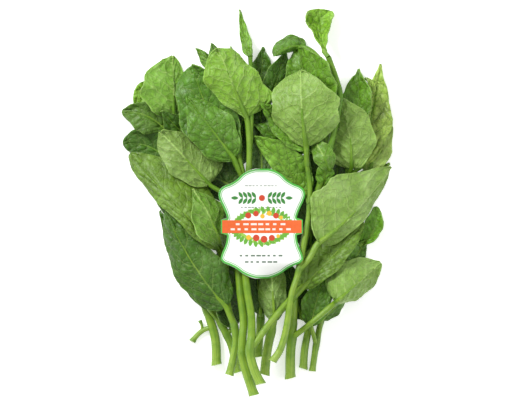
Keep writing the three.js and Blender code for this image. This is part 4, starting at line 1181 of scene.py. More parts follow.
def build_leaf_pattern():
    shares = dict.fromkeys(("Vein share", "Mottling", "Furrows", "Bloom", "Relief", "Roughness"), "Float")
    tree, given, end = new_tree("Leaf pattern", "ShaderNodeTree",
                                {"Tone": "Color", "Vein colour": "Color", **shares},
                                {"Colour": "Color", "Roughness": "Float", "Height": "Float"})
    place = object_place(tree)
    along, across, reach = (shader_value(tree, name) for name in ("along", "across", "reach"))
    midrib, side_vein, net, puff = vein_pattern(tree, along, across, reach, place)
    finest = from_edge_of_cells(tree, place, FINEST_MESHES_PER_METRE).smooth(0.0, 0.16, 1.0, 0.0)
    cloud = noise(tree, place, CLOUDS_PER_METRE, 3.0, 0.6) - 0.5
    patch = noise(tree, place, PATCHES_PER_METRE, 3.0, 0.6) - 0.5
    grain = noise(tree, place, GRAINS_PER_METRE) - 0.5
    # Painted shade: the flesh is darkened along the side veins and the nets, as shade in the furrows where
    # the veins lie.
    furrow = side_vein ** 0.4 * 0.4 + net * 0.35 + finest * 0.2
    # Painted light: besides the random mottling of tone from clouds, patches and grains, the flesh is
    # painted lighter where it puffs up in each mesh and between the side veins.
    light = (cloud * 1.9 + patch * 1.0 + grain * 1.2 + puff * 0.44 - 0.24) * given["Mottling"] + 1.0
    light = light - furrow * given["Furrows"]
    body = mix(tree, 1.0, given["Tone"], grey(tree, light), "MULTIPLY")
    share = (midrib * 1.2 + side_vein * 0.9 + net * 0.32 + finest * 0.2) * given["Vein share"]
    colour = mix(tree, share.math("MINIMUM", 1.0), body, given["Vein colour"])
    margin = across.math("ABSOLUTE").smooth(0.94, 1.0)
    colour = mix(tree, margin * 0.4, colour, given["Vein colour"])
    # Painted highlight: where the clouds and patches run high, the colour is mixed towards a pale waxy
    # green as painted glare.
    bloom = (cloud.smooth(0.0, 0.2) * 0.7 + patch.smooth(0.0, 0.25) * 0.3) * given["Bloom"]
    colour = mix(tree, bloom, colour, WAX)
    fine = puff * 0.0003 - net * 0.0002 - side_vein * 0.00025 - finest * 0.00006
    feed(tree, end, Colour=colour, Roughness=given["Roughness"] + cloud * 0.25 + net * 0.06,
         Height=fine * given["Relief"] + patch * 0.0005 + grain * 0.00004)
    return tree


leaf_pattern = build_leaf_pattern()
print("leaf pattern:", len(leaf_pattern.nodes), "nodes")

# %% The two faces of a leaf


def new_material(name):
    material = bpy.data.materials.new(name)
    material.use_nodes = True
    tree = material.node_tree
    tree.nodes.clear()
    shader = tree.nodes.new("ShaderNodeBsdfPrincipled")
    out = tree.nodes.new("ShaderNodeOutputMaterial")
    tree.links.new(shader.outputs[0], out.inputs["Surface"])
    return material, tree, shader


def bump(tree, height):
    """The normal of a surface with this relief, in metres."""
    node = feed(tree, tree.nodes.new("ShaderNodeBump"), Strength=1.0, Distance=1.0, Height=height)
    return Wire(tree, node.outputs[0])


def leaf_face(name, tint, sheen, **look):
    """One face of a leaf. tint turns the leaf's own tone into this face's colour."""
    material, tree, shader = new_material(name)
    tone = tree.nodes.new("ShaderNodeAttribute")
    tone.attribute_name = "tone"
    own = mix(tree, 1.0, Wire(tree, tone.outputs["Color"]), tint, "MULTIPLY")
    pattern = tree.nodes.new("ShaderNodeGroup")
    pattern.node_tree = leaf_pattern
    feed(tree, pattern, Tone=own, **look)
    colour, roughness, height = (Wire(tree, socket) for socket in pattern.outputs)
    feed(tree, shader, Base_Color=colour, Roughness=roughness, Normal=bump(tree, height),
         Specular_IOR_Level=0.3, Coat_Weight=0.12, Coat_Roughness=0.3, Sheen_Weight=sheen,
         Subsurface_Weight=0.12, Subsurface_Radius=(0.4, 1.0, 0.15), Subsurface_Scale=0.002)
    return material


# The painted shade in the furrows is stronger on the upper face, and the painted glare stronger on the
# underside.
upper_face = leaf_face("Leaf upper face", tint=(0.78, 0.79, 0.4, 1.0), sheen=0.0,
                       Vein_colour=paint(146, 184, 84), Vein_share=0.36, Mottling=0.6, Furrows=0.3,
                       Bloom=0.08, Relief=1.3, Roughness=0.4)
underside = leaf_face("Leaf underside", tint=(0.79, 0.79, 0.5, 1.0), sheen=0.04,
                      Vein_colour=paint(166, 200, 104), Vein_share=0.5, Mottling=0.42, Furrows=0.1,
                      Bloom=0.3, Relief=-1.1, Roughness=0.46)
print("leaf faces:", upper_face.name, "and", underside.name)

# %% [markdown]
# ## The finish of the stems
#
# A stem is yellow-green and almost glassy where it is thick, whitish near the cut and greener towards
# the leaves. Fine streaks run along it, and a darker ring marks each place where a leaf grew. Its sides
# are painted darker where the round stem turns away from the eye, as painted shade: Layer Weight knows
# which parts face away, so the painted shade stays on the edges from every side. The streaks follow the
# stem, so they read the distance from the cut and the place around the stem, which the sweep has kept
# as attributes. Object coordinates would cut straight through the bends.

# %% Stem skin
STREAK_STRETCH = 9.0


def build_stem_skin():
    material, tree, shader = new_material("Stem skin")
    place, from_cut = object_place(tree), shader_value(tree, "from_cut")
    turn = shader_value(tree, "around") * FULL_TURN
    ring = feed(tree, tree.nodes.new("ShaderNodeCombineXYZ"), X=turn.math("COSINE"), Y=turn.math("SINE"),
                Z=from_cut * STREAK_STRETCH)
    streaks = noise(tree, Wire(tree, ring.outputs[0]), 3.2, 4.0, 0.65)
    cloud, patch = noise(tree, place, 30.0), noise(tree, place, 130.0, 3.0, 0.6)
    low = mix(tree, from_cut.smooth(0.0, 0.05), paint(148, 180, 68), paint(127, 164, 40))
    high = mix(tree, from_cut.smooth(0.05, 0.22), low, paint(104, 150, 34))
    streaked = mix(tree, streaks.smooth(0.42, 0.72) * 0.7, high, paint(82, 130, 28))
    cloudy = mix(tree, cloud.smooth(0.4, 0.75) * 0.4, streaked, paint(158, 187, 74))
    patched = mix(tree, patch.smooth(0.45, 0.7) * 0.5, cloudy, paint(92, 140, 34))
    ringed = mix(tree, shader_value(tree, "joint") * 0.55, patched, paint(84, 128, 34))
    # Painted shade: the sides of the stem that turn away from the eye are mixed towards a darker green.
    edge = feed(tree, tree.nodes.new("ShaderNodeLayerWeight"), Blend=0.35)
    rounded = Wire(tree, edge.outputs["Facing"]).smooth(0.2, 0.85, 0.0, 0.75)
    feed(tree, shader, Base_Color=mix(tree, rounded, ringed, paint(74, 124, 24)),
         Roughness=streaks.smooth(0.3, 0.8, 0.3, 0.46),
         Normal=bump(tree, streaks * 0.0005 + cloud * 0.0003 + patch * 0.0006),
         Specular_IOR_Level=0.35, Coat_Weight=0.1, Coat_Roughness=0.25,
         Subsurface_Weight=0.15, Subsurface_Radius=(0.8, 1.0, 0.3), Subsurface_Scale=0.004)
    return material


stem_skin = build_stem_skin()
print("stem skin:", len(stem_skin.node_tree.nodes), "nodes")

# %% Cut flesh
VESSELS_PER_METRE = 1100.0


def build_cut_flesh():
    material, tree, shader = new_material("Cut flesh")
    place = object_place(tree)
    dots = feed(tree, tree.nodes.new("ShaderNodeTexVoronoi"), Vector=place, Scale=VESSELS_PER_METRE)
    spot = Wire(tree, dots.outputs["Distance"]).smooth(0.1, 0.45, 1.0, 0.0)
    watery = noise(tree, place, 400.0, 3.0)
    flesh = mix(tree, watery, paint(168, 192, 110), paint(190, 208, 136))
    feed(tree, shader, Base_Color=mix(tree, spot * 0.6, flesh, paint(126, 162, 72)),
         Roughness=watery.smooth(0.2, 0.8, 0.2, 0.4), Normal=bump(tree, watery * 0.0004 - spot * 0.0002),
         Subsurface_Weight=0.3, Subsurface_Radius=(0.8, 1.0, 0.4), Subsurface_Scale=0.004)
    return material


cut_flesh = build_cut_flesh()
print("cut flesh:", len(cut_flesh.node_tree.nodes), "nodes")

# %% [markdown]
# ## Making the leaves
#
# Now each laid blade becomes a fine sheet. Its points keep along and across, the distance from the rib,
# the leaf's tone and which face is up, and the tree does the rest. All blades of one leafy stem go into
# one object, because they grew as one piece and one node of the frame stands for them.

# %% From a tree and a start mesh to a plain mesh


def made_plain(piece):
    """Turns the result of the piece's modifier into its own mesh and removes the modifier."""
    evaluated = piece.evaluated_get(bpy.context.evaluated_depsgraph_get())
    plain = bpy.data.meshes.new_from_object(evaluated)
    piece.modifiers.clear()
    piece.data = plain
    plain.name = piece.name
    return piece


def run_tree(piece, tree, **values):
    """Runs a geometry tree on the piece with named values."""
    modifier = piece.modifiers.new(tree.name, "NODES")
    modifier.node_group = tree
    sockets = {item.name: item.identifier for item in tree.interface.items_tree if item.in_out == "INPUT"}
    for label, value in values.items():
        modifier[sockets[label.replace("_", " ")]] = value
    return made_plain(piece)


def press_on_table(piece):
    """The table flattens whatever would bulge below its top."""
    places = np.empty(3 * len(piece.data.vertices), np.float32)
    piece.data.vertices.foreach_get("co", places)
    places[2::3] = np.maximum(places[2::3], 0)
    piece.data.vertices.foreach_set("co", places)
    return piece


def triangles_of(piece):
    return sum(len(face.vertices) - 2 for face in piece.data.polygons)


def join(parts, name):
    """The values of this name of all the parts, one part after another."""
    return np.concatenate([getattr(part, name) for part in parts])


print("a tree takes its inputs by their identifiers, such as",
      blade_tree.interface.items_tree["Quilting"].identifier)

# %% The fine sheet of one blade
FINE_TIP = 0.25
NIBBLE, NIBBLES, FINER_NIBBLES = 0.007, 9.3, 15.7
LOWEST_BLADE = 1.6
ROWS_PER_MM, FEWEST_ROWS, MOST_ROWS = 0.85, 22, 64
PAIRS_PER_MM, FEWEST_PAIRS, MOST_PAIRS = 0.5, 7, 22
MARGIN_CROWDING = 1.2


def nibbled(one, t):
    """Small notches and bulges of a real margin, as a share of the half width."""
    coarse = np.sin(2 * np.pi * (NIBBLES * t + 3 * one.phase))
    fine = np.sin(2 * np.pi * (FINER_NIBBLES * t + one.phase))
    return 1 + NIBBLE * (coarse + fine)


def crowded(count, crowding):
    """Places from -1 to 1 that crowd towards both ends."""
    return np.sin(np.linspace(-1, 1, count + 1) * crowding) / math.sin(crowding)


def fine_blade(one, net):
    """Points, faces and stored values of one blade, in metres."""
    rows = int(min(MOST_ROWS, max(FEWEST_ROWS, blade_length(one) * ROWS_PER_MM)))
    columns = 2 * int(min(MOST_PAIRS, max(FEWEST_PAIRS, blade_width(one) * PAIRS_PER_MM)))
    along = row_place(np.arange(rows + 1), rows)
    across = crowded(columns, MARGIN_CROWDING)
    t, side = (grid.ravel() for grid in np.meshgrid(along, across, indexing="ij"))
    plan = blade_point(one, t, side * nibbled(one, t + 0.4 * side), FINE_TIP)
    heights = sheet_heights(net, row_place(np.arange(net.rows + 1), net.rows), along, across).ravel()
    heights = np.maximum(heights, LOWEST_BLADE)
    return SimpleNamespace(
        points=np.column_stack([plan, heights]) * MM,
        faces=grid_faces(rows, columns),
        along=t,
        across=side,
        reach=half_width(one, t, side, FINE_TIP) * side * MM,
        facing=np.full(len(t), -1.0 if one.back else 1.0),
        tone=np.tile(TONES[one.tone], (len(t), 1)),
    )


sample = fine_blade(longest, next(laid.blades[longest.name] for laid in laid_stems
                                  if longest.name in laid.blades))
print(f"{longest.name} as a fine sheet: {len(sample.points)} points")

# %% The leaves of each leafy stem


def leaves_of(laid):
    parts = [fine_blade(one, laid.blades[one.name]) for one in laid.shoot.leaves]
    counts = np.cumsum([0] + [len(part.points) for part in parts])
    faces = np.concatenate([part.faces + start for part, start in zip(parts, counts)])
    name = laid.shoot.name.replace("leafy_stem_", "") + "_leaves"
    piece = new_mesh_object(name, join(parts, "points"), faces=faces.tolist())
    for name in ("along", "across", "reach", "facing"):
        store(piece, name, join(parts, name))
    store(piece, "tone", join(parts, "tone"), "FLOAT_COLOR")
    run_tree(piece, blade_tree, Thickness=0.0008, Quilting=0.0009, Crumple=0.0012, Vein_relief=0.0005,
             Ruffle=0.0008, Upper_face=upper_face, Underside=underside)
    return press_on_table(piece)


leaf_pieces = {laid.shoot.name: leaves_of(laid) for laid in laid_stems}
for piece in leaf_pieces.values():
    print(f"{piece.name}: {triangles_of(piece)} triangles")

# %% [markdown]
# ## Making the stems and stalks
#
# A stem's line is drawn smoothly through its laid points, a point every millimetre and a half. It swells
# where a leaf grows out, and a little at the knots, where a leaf was pulled off before the bunch was
# tied. The knife has spread its cut end a little. Each leaf stalk starts inside the stem, bows to the
# blade and runs on as the midrib, thinner and thinner: on an underside that faces up it stands on the
# blade, and on any other leaf it runs below it, as it does on a real one.

# %% The line of a stem
STEM_STEP = 1.5
SWELLING, SWELLING_REACH = 0.16, 4.0
KNOT_GAP, KNOT_SHIFT = 37.0, 6.0
KNOT_SWELLING, KNOT_REACH = 0.7, 2.6
CUT_FLARE, CUT_FLARE_REACH = 0.13, 2.2
FLAT_DEPTH = 0.3


def smooth_line(points, radii, step=STEM_STEP):
    """A smooth line through points in space, with its radii, at even steps."""
    gaps = np.linalg.norm(np.diff(points, axis=0), axis=1)
    places = np.concatenate([[0], np.cumsum(gaps)])
    wanted = np.linspace(0, places[-1], max(4, int(places[-1] / step)) + 1)
    table = smooth_through(places, np.column_stack([points, radii]), wanted)
    return table[:, :3], table[:, 3], wanted


def hump(away, reach):
    """1 in its middle and 0 far away."""
    return np.exp(-(away / reach) ** 2)


def stem_line(laid):
    """The points, radii and joints of a stem. One that lies on the table is sunk in it a little."""
    stem = laid.stem
    lowest = min(stem.heights - stem.radii)
    sunk = FLAT_DEPTH if lowest < FLAT_DEPTH else 0
    points, radii, from_cut = smooth_line(np.column_stack([stem.points, stem.heights - sunk]), stem.radii)
    joint = np.zeros(len(points))
    for one in laid.shoot.leaves:
        root, _ = rod_place(stem, one.root)
        aside = np.linalg.norm(points[:, :2] - root, axis=1)
        joint = np.maximum(joint, hump(aside, SWELLING_REACH))
    for k in range(1, int(from_cut[-1] / KNOT_GAP) + 1):
        knot = KNOT_GAP * k + KNOT_SHIFT * math.sin(2.4 * k + points[0, 0])
        joint = np.maximum(joint, KNOT_SWELLING * hump(from_cut - knot, KNOT_REACH))
    flare = CUT_FLARE * hump(from_cut, CUT_FLARE_REACH)
    return SimpleNamespace(points=points, radii=radii * (1 + SWELLING * joint + flare),
                           from_cut=from_cut, joint=joint)


trial = stem_line(laid_stems[0])
print(f"{laid_stems[0].shoot.name}: {len(trial.points)} points over {trial.from_cut[-1]:.0f} mm")

# %% The line of a stalk and midrib
PETIOLE_STEP = 1.2
RIB_STEPS = 13
RIB_TIP = 0.3
RIB_TAPER = 1.8
RIB_SHARE = 0.92
RIB_DEPTH_BACK, RIB_DEPTH_FRONT = -0.15, 1.0
RIB_ENTRY = 6


def petiole_line(laid, one, stem):
    """The line of a stalk, which goes on along the blade as its midrib."""
    blade, petiole = laid.blades[one.name], laid.petioles[one.name]
    along = np.linspace(0, RIB_SHARE, RIB_STEPS + 1)[1:]
    rib, _ = rib_of(one, along)
    places = row_place(np.arange(blade.rows + 1), blade.rows)
    heights = sheet_heights(blade, places, along, np.array([0.0]))[:, 0]
    radii = one.petiole * (1 - along) ** RIB_TAPER + RIB_TIP * along
    below = RIB_DEPTH_BACK if one.back else RIB_DEPTH_FRONT
    heights = heights - below * radii * np.minimum(1, along * RIB_ENTRY)
    points = np.concatenate([np.column_stack([petiole.points, petiole.heights]),
                             np.column_stack([rib, heights])])
    radii = np.concatenate([np.full(len(petiole.points), one.petiole), radii])
    points, radii, run = smooth_line(points, radii, PETIOLE_STEP)
    near = np.argmin(np.linalg.norm(stem.points[:, :2] - points[0, :2], axis=1))
    joint = hump(run, SWELLING_REACH)
    return SimpleNamespace(points=points, radii=radii * (1 + SWELLING * joint),
                           from_cut=stem.from_cut[near] + run, joint=joint)


print("a midrib ends at", RIB_SHARE, "of its blade, with a radius of about", RIB_TIP, "mm")

# %% The bare sprig
KNOB, KNOB_REACH = 0.35, 2.5
FORK_START = 0.45
FORK_REACH = (-1.6, 8.2, 1.4)
FORK_RADIUS, FORK_BUD, FORK_BUD_REACH = 1.1, 0.5, 0.22
FORK_BOW = 0.8
FORK_POINTS = 9
FORK_FROM_CUT, FORK_LENGTH = 12, 8


def sprig_line(sprig):
    """The line of a bare sprig, which ends in a knob where it was cut."""
    points, radii, run = smooth_line(np.column_stack([sprig.points, sprig.heights]), sprig.radii)
    knob = hump(run - run[-1], KNOB_REACH)
    return SimpleNamespace(points=points, radii=radii * (1 + KNOB * knob), from_cut=run[::-1].copy(),
                           joint=knob)


def fork_line(sprig):
    """The stub of a second side shoot, which leaves the sprig part of the way along it."""
    k = int(FORK_START * len(sprig.points))
    share = np.linspace(0, 1, FORK_POINTS)
    points = sprig.points[k] + share[:, None] * np.array(FORK_REACH)
    points[:, 0] += FORK_BOW * np.sin(np.pi * share)
    bud = hump(1 - share, FORK_BUD_REACH)
    return SimpleNamespace(points=points, radii=FORK_RADIUS + FORK_BUD * bud,
                           from_cut=FORK_FROM_CUT + FORK_LENGTH * share, joint=bud)


print("the stub on the sprig is", round(math.hypot(*FORK_REACH), 1), "mm long")

# %% The stem and stalks of each leafy stem
CUT_SLANT = 0.26
TWIST_PER_MM, TWIST_PER_STEM = 0.002, 0.37
LOWEST_SHARE = 0.9


def cut_slant(line, number):
    """How far the cut end leans along its stem: each stem's own share of its radius."""
    slant = np.zeros((len(line.points), 3))
    end = 0 if line.from_cut[0] < line.from_cut[-1] else len(slant) - 1
    if line.from_cut[end] == 0:
        run = line.points[1] - line.points[0] if end == 0 else line.points[-1] - line.points[-2]
        share = CUT_SLANT * math.sin(1.9 * number + 0.8)
        slant[end] = share * line.radii[end] * run / np.linalg.norm(run)
    return slant


def stem_of(laid, number):
    stem = stem_line(laid)
    lines = [stem] + [petiole_line(laid, one, stem) for one in laid.shoot.leaves]
    if laid.sprig:
        lines.append(sprig_line(laid.sprig))
        lines.append(fork_line(lines[-1]))
    counts = np.cumsum([0] + [len(line.points) for line in lines])
    edges = [(k, k + 1) for start, stop in zip(counts, counts[1:]) for k in range(start, stop - 1)]
    points, radii, from_cut = join(lines, "points"), join(lines, "radii"), join(lines, "from_cut")
    points[:, 2] = np.maximum(points[:, 2], radii * LOWEST_SHARE)
    piece = new_mesh_object(laid.shoot.name.replace("leafy_stem_", "") + "_stem", points * MM, edges)
    slants = [cut_slant(line, number) for line in lines]
    store(piece, "slant", np.concatenate(slants) * MM, "FLOAT_VECTOR")
    store(piece, "radius", radii * MM)
    store(piece, "from_cut", from_cut * MM)
    store(piece, "joint", join(lines, "joint"))
    store(piece, "twist", from_cut * TWIST_PER_MM + number * TWIST_PER_STEM)
    run_tree(piece, stem_tree, Sides=18, Ridges=5, Ridge_depth=0.05, Cut_rim=0.86, Skin=stem_skin,
             Cut_flesh=cut_flesh)
    return press_on_table(piece)


stem_pieces = {laid.shoot.name: stem_of(laid, n) for n, laid in enumerate(laid_stems)}
for piece in stem_pieces.values():
    print(f"{piece.name}: {triangles_of(piece)} triangles")

# %% [markdown]
# ## The printed card
#
# The card is a stiff glossy paper cut to a wavy badge outline, and it rests on the stems and leaves with
# a slight bend. It is a fine sheet on the laid net, thickened by a Solidify modifier. Its green double
# rim follows the cut edge, so each point keeps its distance from that edge and the material draws the
# rim from it. The rest of the print is a plain design of bands, leaves and dots, made as films of ink
# on the paper, which stay sharp from close by.

# %% The outline of the card and its height anywhere
CARD_HEIGHT = CARD_STATIONS[-1][0]
STATION_UPS = np.array([up for up, _ in CARD_STATIONS], float)
STATION_HALVES = np.array([half for _, half in CARD_STATIONS], float)


def card_half(up):
    """Half the card's width, on a curve that never swings past the stations."""
    slopes = np.diff(STATION_HALVES) / np.diff(STATION_UPS)
    same_way = slopes[:-1] * slopes[1:] > 0
    middle = np.where(same_way, 2 * slopes[:-1] * slopes[1:] / (slopes[:-1] + slopes[1:] + 1e-9), 0)
    slope = np.concatenate([slopes[:1], middle, slopes[-1:]])
    k = np.clip(np.searchsorted(STATION_UPS, up, side="right") - 1, 0, len(slopes) - 1)
    step = STATION_UPS[k + 1] - STATION_UPS[k]
    u = (up - STATION_UPS[k]) / step
    return ((2 * u - 3) * u * u + 1) * STATION_HALVES[k] + (3 - 2 * u) * u * u * STATION_HALVES[k + 1] \
        + (((u - 2) * u + 1) * u * slope[k] + (u - 1) * u * u * slope[k + 1]) * step


def card_height_at(right, up):
    """The height of the middle of the paper, at places given from the card's own axis and lower edge."""
    side = np.clip(-right / card_half(up), -1, 1)
    coarse = card.heights.reshape(card.rows + 1, card.columns + 1)
    by_up = smooth_through(STATION_UPS, coarse, up)
    sides = np.linspace(-1, 1, card.columns + 1)
    return np.array([smooth_through(sides, row, [s])[0] for row, s in zip(by_up, side)])


def on_card(right, up, over=0.0):
    """Points of the card, in metres."""
    height = card_height_at(right, up) + over
    return np.column_stack([CARD_AXIS + right, CARD_BOTTOM + up, height]) * MM


print(f"the card is {2 * card_half(np.array([20.0]))[0]:.1f} mm wide 20 mm above its lower edge")

# %% The paper
PAPER_THICKNESS = 0.5
CARD_ROWS, CARD_LINES = 150, 48
CARD_GATHERING, CARD_CROWDING = 0.4, 1.35


def edge_distance(right, up):
    """How far places lie from the cut edge, in millimetres."""
    ups = np.linspace(0, CARD_HEIGHT, 600)
    sides = np.column_stack([card_half(ups), ups])
    foot = np.column_stack([np.linspace(0, STATION_HALVES[0], 20), np.zeros(20)])
    head = np.column_stack([np.linspace(0, STATION_HALVES[-1], 20), np.full(20, CARD_HEIGHT)])
    edge = np.concatenate([sides, foot, head])
    gaps = np.hypot(np.abs(right)[:, None] - edge[None, :, 0], up[:, None] - edge[None, :, 1])
    return gaps.min(axis=1)


def build_card(material_face, material_back):
    even = np.linspace(0, 1, CARD_ROWS + 1)
    gathered = (1 - CARD_GATHERING) * even + CARD_GATHERING * (1 - np.cos(np.pi * even)) / 2
    sides = crowded(CARD_LINES, CARD_CROWDING)
    up, side = (grid.ravel() for grid in np.meshgrid(CARD_HEIGHT * gathered, sides, indexing="ij"))
    right = -side * card_half(up)
    faces = grid_faces(CARD_ROWS, CARD_LINES).tolist()
    piece = new_mesh_object("printed_card", on_card(right, up), faces=faces)
    store(piece, "from_edge", edge_distance(right, up))
    piece.data.materials.append(material_face)
    piece.data.materials.append(material_back)
    wall = piece.modifiers.new("Thickness", "SOLIDIFY")
    wall.thickness = PAPER_THICKNESS * MM
    wall.offset = 0.0
    wall.material_offset = 1
    wall.material_offset_rim = 1
    made_plain(piece)
    piece.data.shade_smooth()
    return piece


middle = edge_distance(np.array([0.0]), np.array([CARD_HEIGHT / 2]))
print(f"the middle of the card is {middle[0]:.1f} mm from its edge")

# %% The finish of the card
RIM_OUTER = (-1.0, 1.5)
RIM_INNER = (2.0, 2.5)
SOFT = 0.12
FIBRES_PER_METRE = 1400.0


def between(wire, low, high):
    """1 between two distances and 0 outside them, with a soft step."""
    return wire.smooth(low - SOFT, low + SOFT) * wire.smooth(high - SOFT, high + SOFT, 1.0, 0.0)


def build_card_face():
    material, tree, shader = new_material("Printed card face")
    place = object_place(tree)
    fibre = noise(tree, place, FIBRES_PER_METRE, 3.0)
    paper = mix(tree, fibre, paint(243, 245, 240), paint(250, 251, 248))
    from_edge = shader_value(tree, "from_edge")
    rim = (between(from_edge, *RIM_OUTER) + between(from_edge, *RIM_INNER)).math("MINIMUM", 1.0)
    green = mix(tree, noise(tree, place, 60.0), paint(70, 172, 62), paint(92, 190, 74))
    feed(tree, shader, Base_Color=mix(tree, rim, paper, green),
         Roughness=fibre.smooth(0.2, 0.8, 0.3, 0.38), Normal=bump(tree, fibre * 0.00001),
         Coat_Weight=0.25, Coat_Roughness=0.2)
    return material


def build_card_back():
    material, tree, shader = new_material("Card back")
    fibre = noise(tree, object_place(tree), 900.0, 4.0)
    feed(tree, shader, Base_Color=mix(tree, fibre, paint(226, 228, 220), paint(240, 240, 234)),
         Roughness=fibre.smooth(0.2, 0.8, 0.55, 0.7), Normal=bump(tree, fibre * 0.00002))
    return material


printed_card = build_card(build_card_face(), build_card_back())
print("printed card:", triangles_of(printed_card), "triangles")

# %% [markdown]
# ## The ink
#
# Printing inks lie on coated paper as a thin film with its own gloss. Every mark here is one shape, a
# strip of changing width along a line: a leaf is wide in its middle, a dot is a short round one, and the
# ribbon and the small print are even. One function therefore makes them all, and all marks of one colour
# become one piece. The design is a plain wreath round a ribbon, with dashes for the small print.

# %% Single marks
FILM = 0.05
MARK_POINTS, STRIP_POINTS = 13, 33
BROAD = 2
LEAF_TIP, DOT_TIP = 0.04, 0.03


def leaf_mark(x, y, angle, length, width):
    """A mark is a line and half its width at each point of it. This one is pointed at both ends."""
    t = np.linspace(0, 1, MARK_POINTS)
    turn = math.radians(angle)
    line = np.column_stack([x + t * length * math.cos(turn), y + t * length * math.sin(turn)])
    return line, width / 2 * np.sin(np.pi * t) ** 0.8 + LEAF_TIP


def dot_mark(x, y, radius):
    angle = np.linspace(0, np.pi, MARK_POINTS)
    line = np.column_stack([x - radius * np.cos(angle), np.full(MARK_POINTS, y)])
    return line, radius * np.sin(angle) + DOT_TIP


def strip_mark(left, right, y, half):
    line = np.column_stack([np.linspace(left, right, STRIP_POINTS), np.full(STRIP_POINTS, y)])
    return line, np.full(STRIP_POINTS, half)


print("a dot is", len(dot_mark(0, 0, 1)[0]), "points long")

# %% A film of ink


def ink_film(marks, over):
    """The points and faces of one closed film for each mark."""
    points, faces = [], []
    for line, halves in marks:
        lanes = 4 if halves.max() > BROAD else 2
        run = np.gradient(line, axis=0)
        run /= np.linalg.norm(run, axis=1, keepdims=True)
        sides = np.linspace(-1, 1, lanes + 1)
        right = line[:, :1] + run[:, 1:] * halves[:, None] * -sides
        up = line[:, 1:] + run[:, :1] * halves[:, None] * sides
        start = len(points)
        for height in (over, -FILM):
            points.extend(on_card(right.ravel(), up.ravel(), PAPER_THICKNESS / 2 + height))
        layer = len(line) * (lanes + 1)
        top = (start + grid_faces(len(line) - 1, lanes)).tolist()
        faces.extend(top)
        faces.extend([[v + layer for v in reversed(face)] for face in top])
        ring = [i * (lanes + 1) for i in range(len(line))]
        ring += [(len(line) - 1) * (lanes + 1) + j for j in range(1, lanes + 1)]
        ring += [i * (lanes + 1) + lanes for i in reversed(range(len(line) - 1))]
        ring += [j for j in reversed(range(1, lanes))]
        for a, b in zip(ring, ring[1:] + ring[:1]):
            faces.append([start + a, start + a + layer, start + b + layer, start + b])
    return points, faces


def ink_piece(name, marks, colour, over):
    """All marks of one colour in one object. over is how far their top lies over the paper."""
    points, faces = ink_film(marks, over)
    piece = new_mesh_object(name, points, faces=faces)
    material, tree, shader = new_material(name.replace("_", " "))
    patch = noise(tree, object_place(tree), 500.0)
    darker = tuple(0.82 * value for value in colour[:3]) + (1.0,)
    feed(tree, shader, Base_Color=mix(tree, patch, darker, colour),
         Roughness=patch.smooth(0.2, 0.8, 0.28, 0.4), Normal=bump(tree, patch * 0.00001))
    piece.data.materials.append(material)
    return piece


print("a dot of ink has", len(ink_film([dot_mark(0, 40, 1)], FILM)[1]), "faces")

# %% Groups of marks
TWIG_PAIRS = 4
WREATH_UP = 39.6


def twig_marks(x, y, way, size):
    """Leaf marks in pairs along a level stalk, with one at its end. way is 1 for right, -1 for left."""
    marks = []
    for k in range(TWIG_PAIRS):
        at = x + way * size * k * 0.6
        for lean in (56, -56):
            marks.append(leaf_mark(at, y, 90 - way * (90 - lean), size, size * 0.44))
    marks.append(leaf_mark(x + way * size * TWIG_PAIRS * 0.6, y, 90 - way * 90, size, size * 0.46))
    return marks


def wreath_marks(count, reach, rise, length, width, lean, start=0.0):
    """Leaf marks round an oval, which all lean the same way along it."""
    marks = []
    for k in range(count):
        angle = 2 * math.pi * (k + start) / count
        x, y = reach * math.cos(angle), WREATH_UP + rise * math.sin(angle)
        way = math.degrees(math.atan2(rise * math.sin(angle), reach * math.cos(angle)))
        marks.append(leaf_mark(x, y, way + lean, length, width))
    return marks


def small_print(y, half, height, words):
    """A line of short dashes, like small print seen from afar."""
    marks, x = [], -half
    for k in range(words):
        run = 2 * half / words * (0.62 + 0.2 * math.sin(5.1 * k + y))
        marks.append(strip_mark(x, x + run, y, height / 2))
        x += 2 * half / words
    return marks


print("a twig has", len(twig_marks(0, 0, 1, 5)), "leaves")

# %% The design
RIBBON_UP, RIBBON_HALF, RIBBON_REACH = 39.6, 4.9, 30.4


def dots(*places):
    return [dot_mark(x, y, radius) for x, y, radius in places]


green_marks = twig_marks(4.6, 61.6, 1, 5.6) + twig_marks(-4.6, 61.6, -1, 5.6)
leaf_green_marks = wreath_marks(34, 19.0, 10.6, 5.6, 2.9, 34)
lime_marks = wreath_marks(34, 17.6, 9.4, 5.4, 2.6, -38, 0.5)
ribbon_marks = [strip_mark(-RIBBON_REACH, RIBBON_REACH, RIBBON_UP, RIBBON_HALF)]
red_marks = dots((0, 61.6, 2.3), (-10.5, 48.2, 2.3), (-4.6, 49.6, 2.1), (10.8, 48.0, 2.2),
                 (-4.4, 31.0, 2.5), (1.6, 30.0, 2.6), (7.6, 31.0, 2.3))
yellow_marks = dots((5.6, 49.8, 1.9), (0.4, 47.6, 1.7), (14.8, 46.6, 1.4), (-10.2, 31.4, 1.9),
                    (12.4, 32.4, 1.4))
white_marks = small_print(RIBBON_UP + 1.9, 20, 1.5, 7) + small_print(RIBBON_UP - 2.0, 24, 1.5, 9)
print_marks = small_print(71.0, 13, 0.5, 9) + small_print(54.4, 16, 0.6, 12)
print_marks += small_print(17.4, 17, 1.2, 8) + small_print(12.6, 13, 1.2, 6)

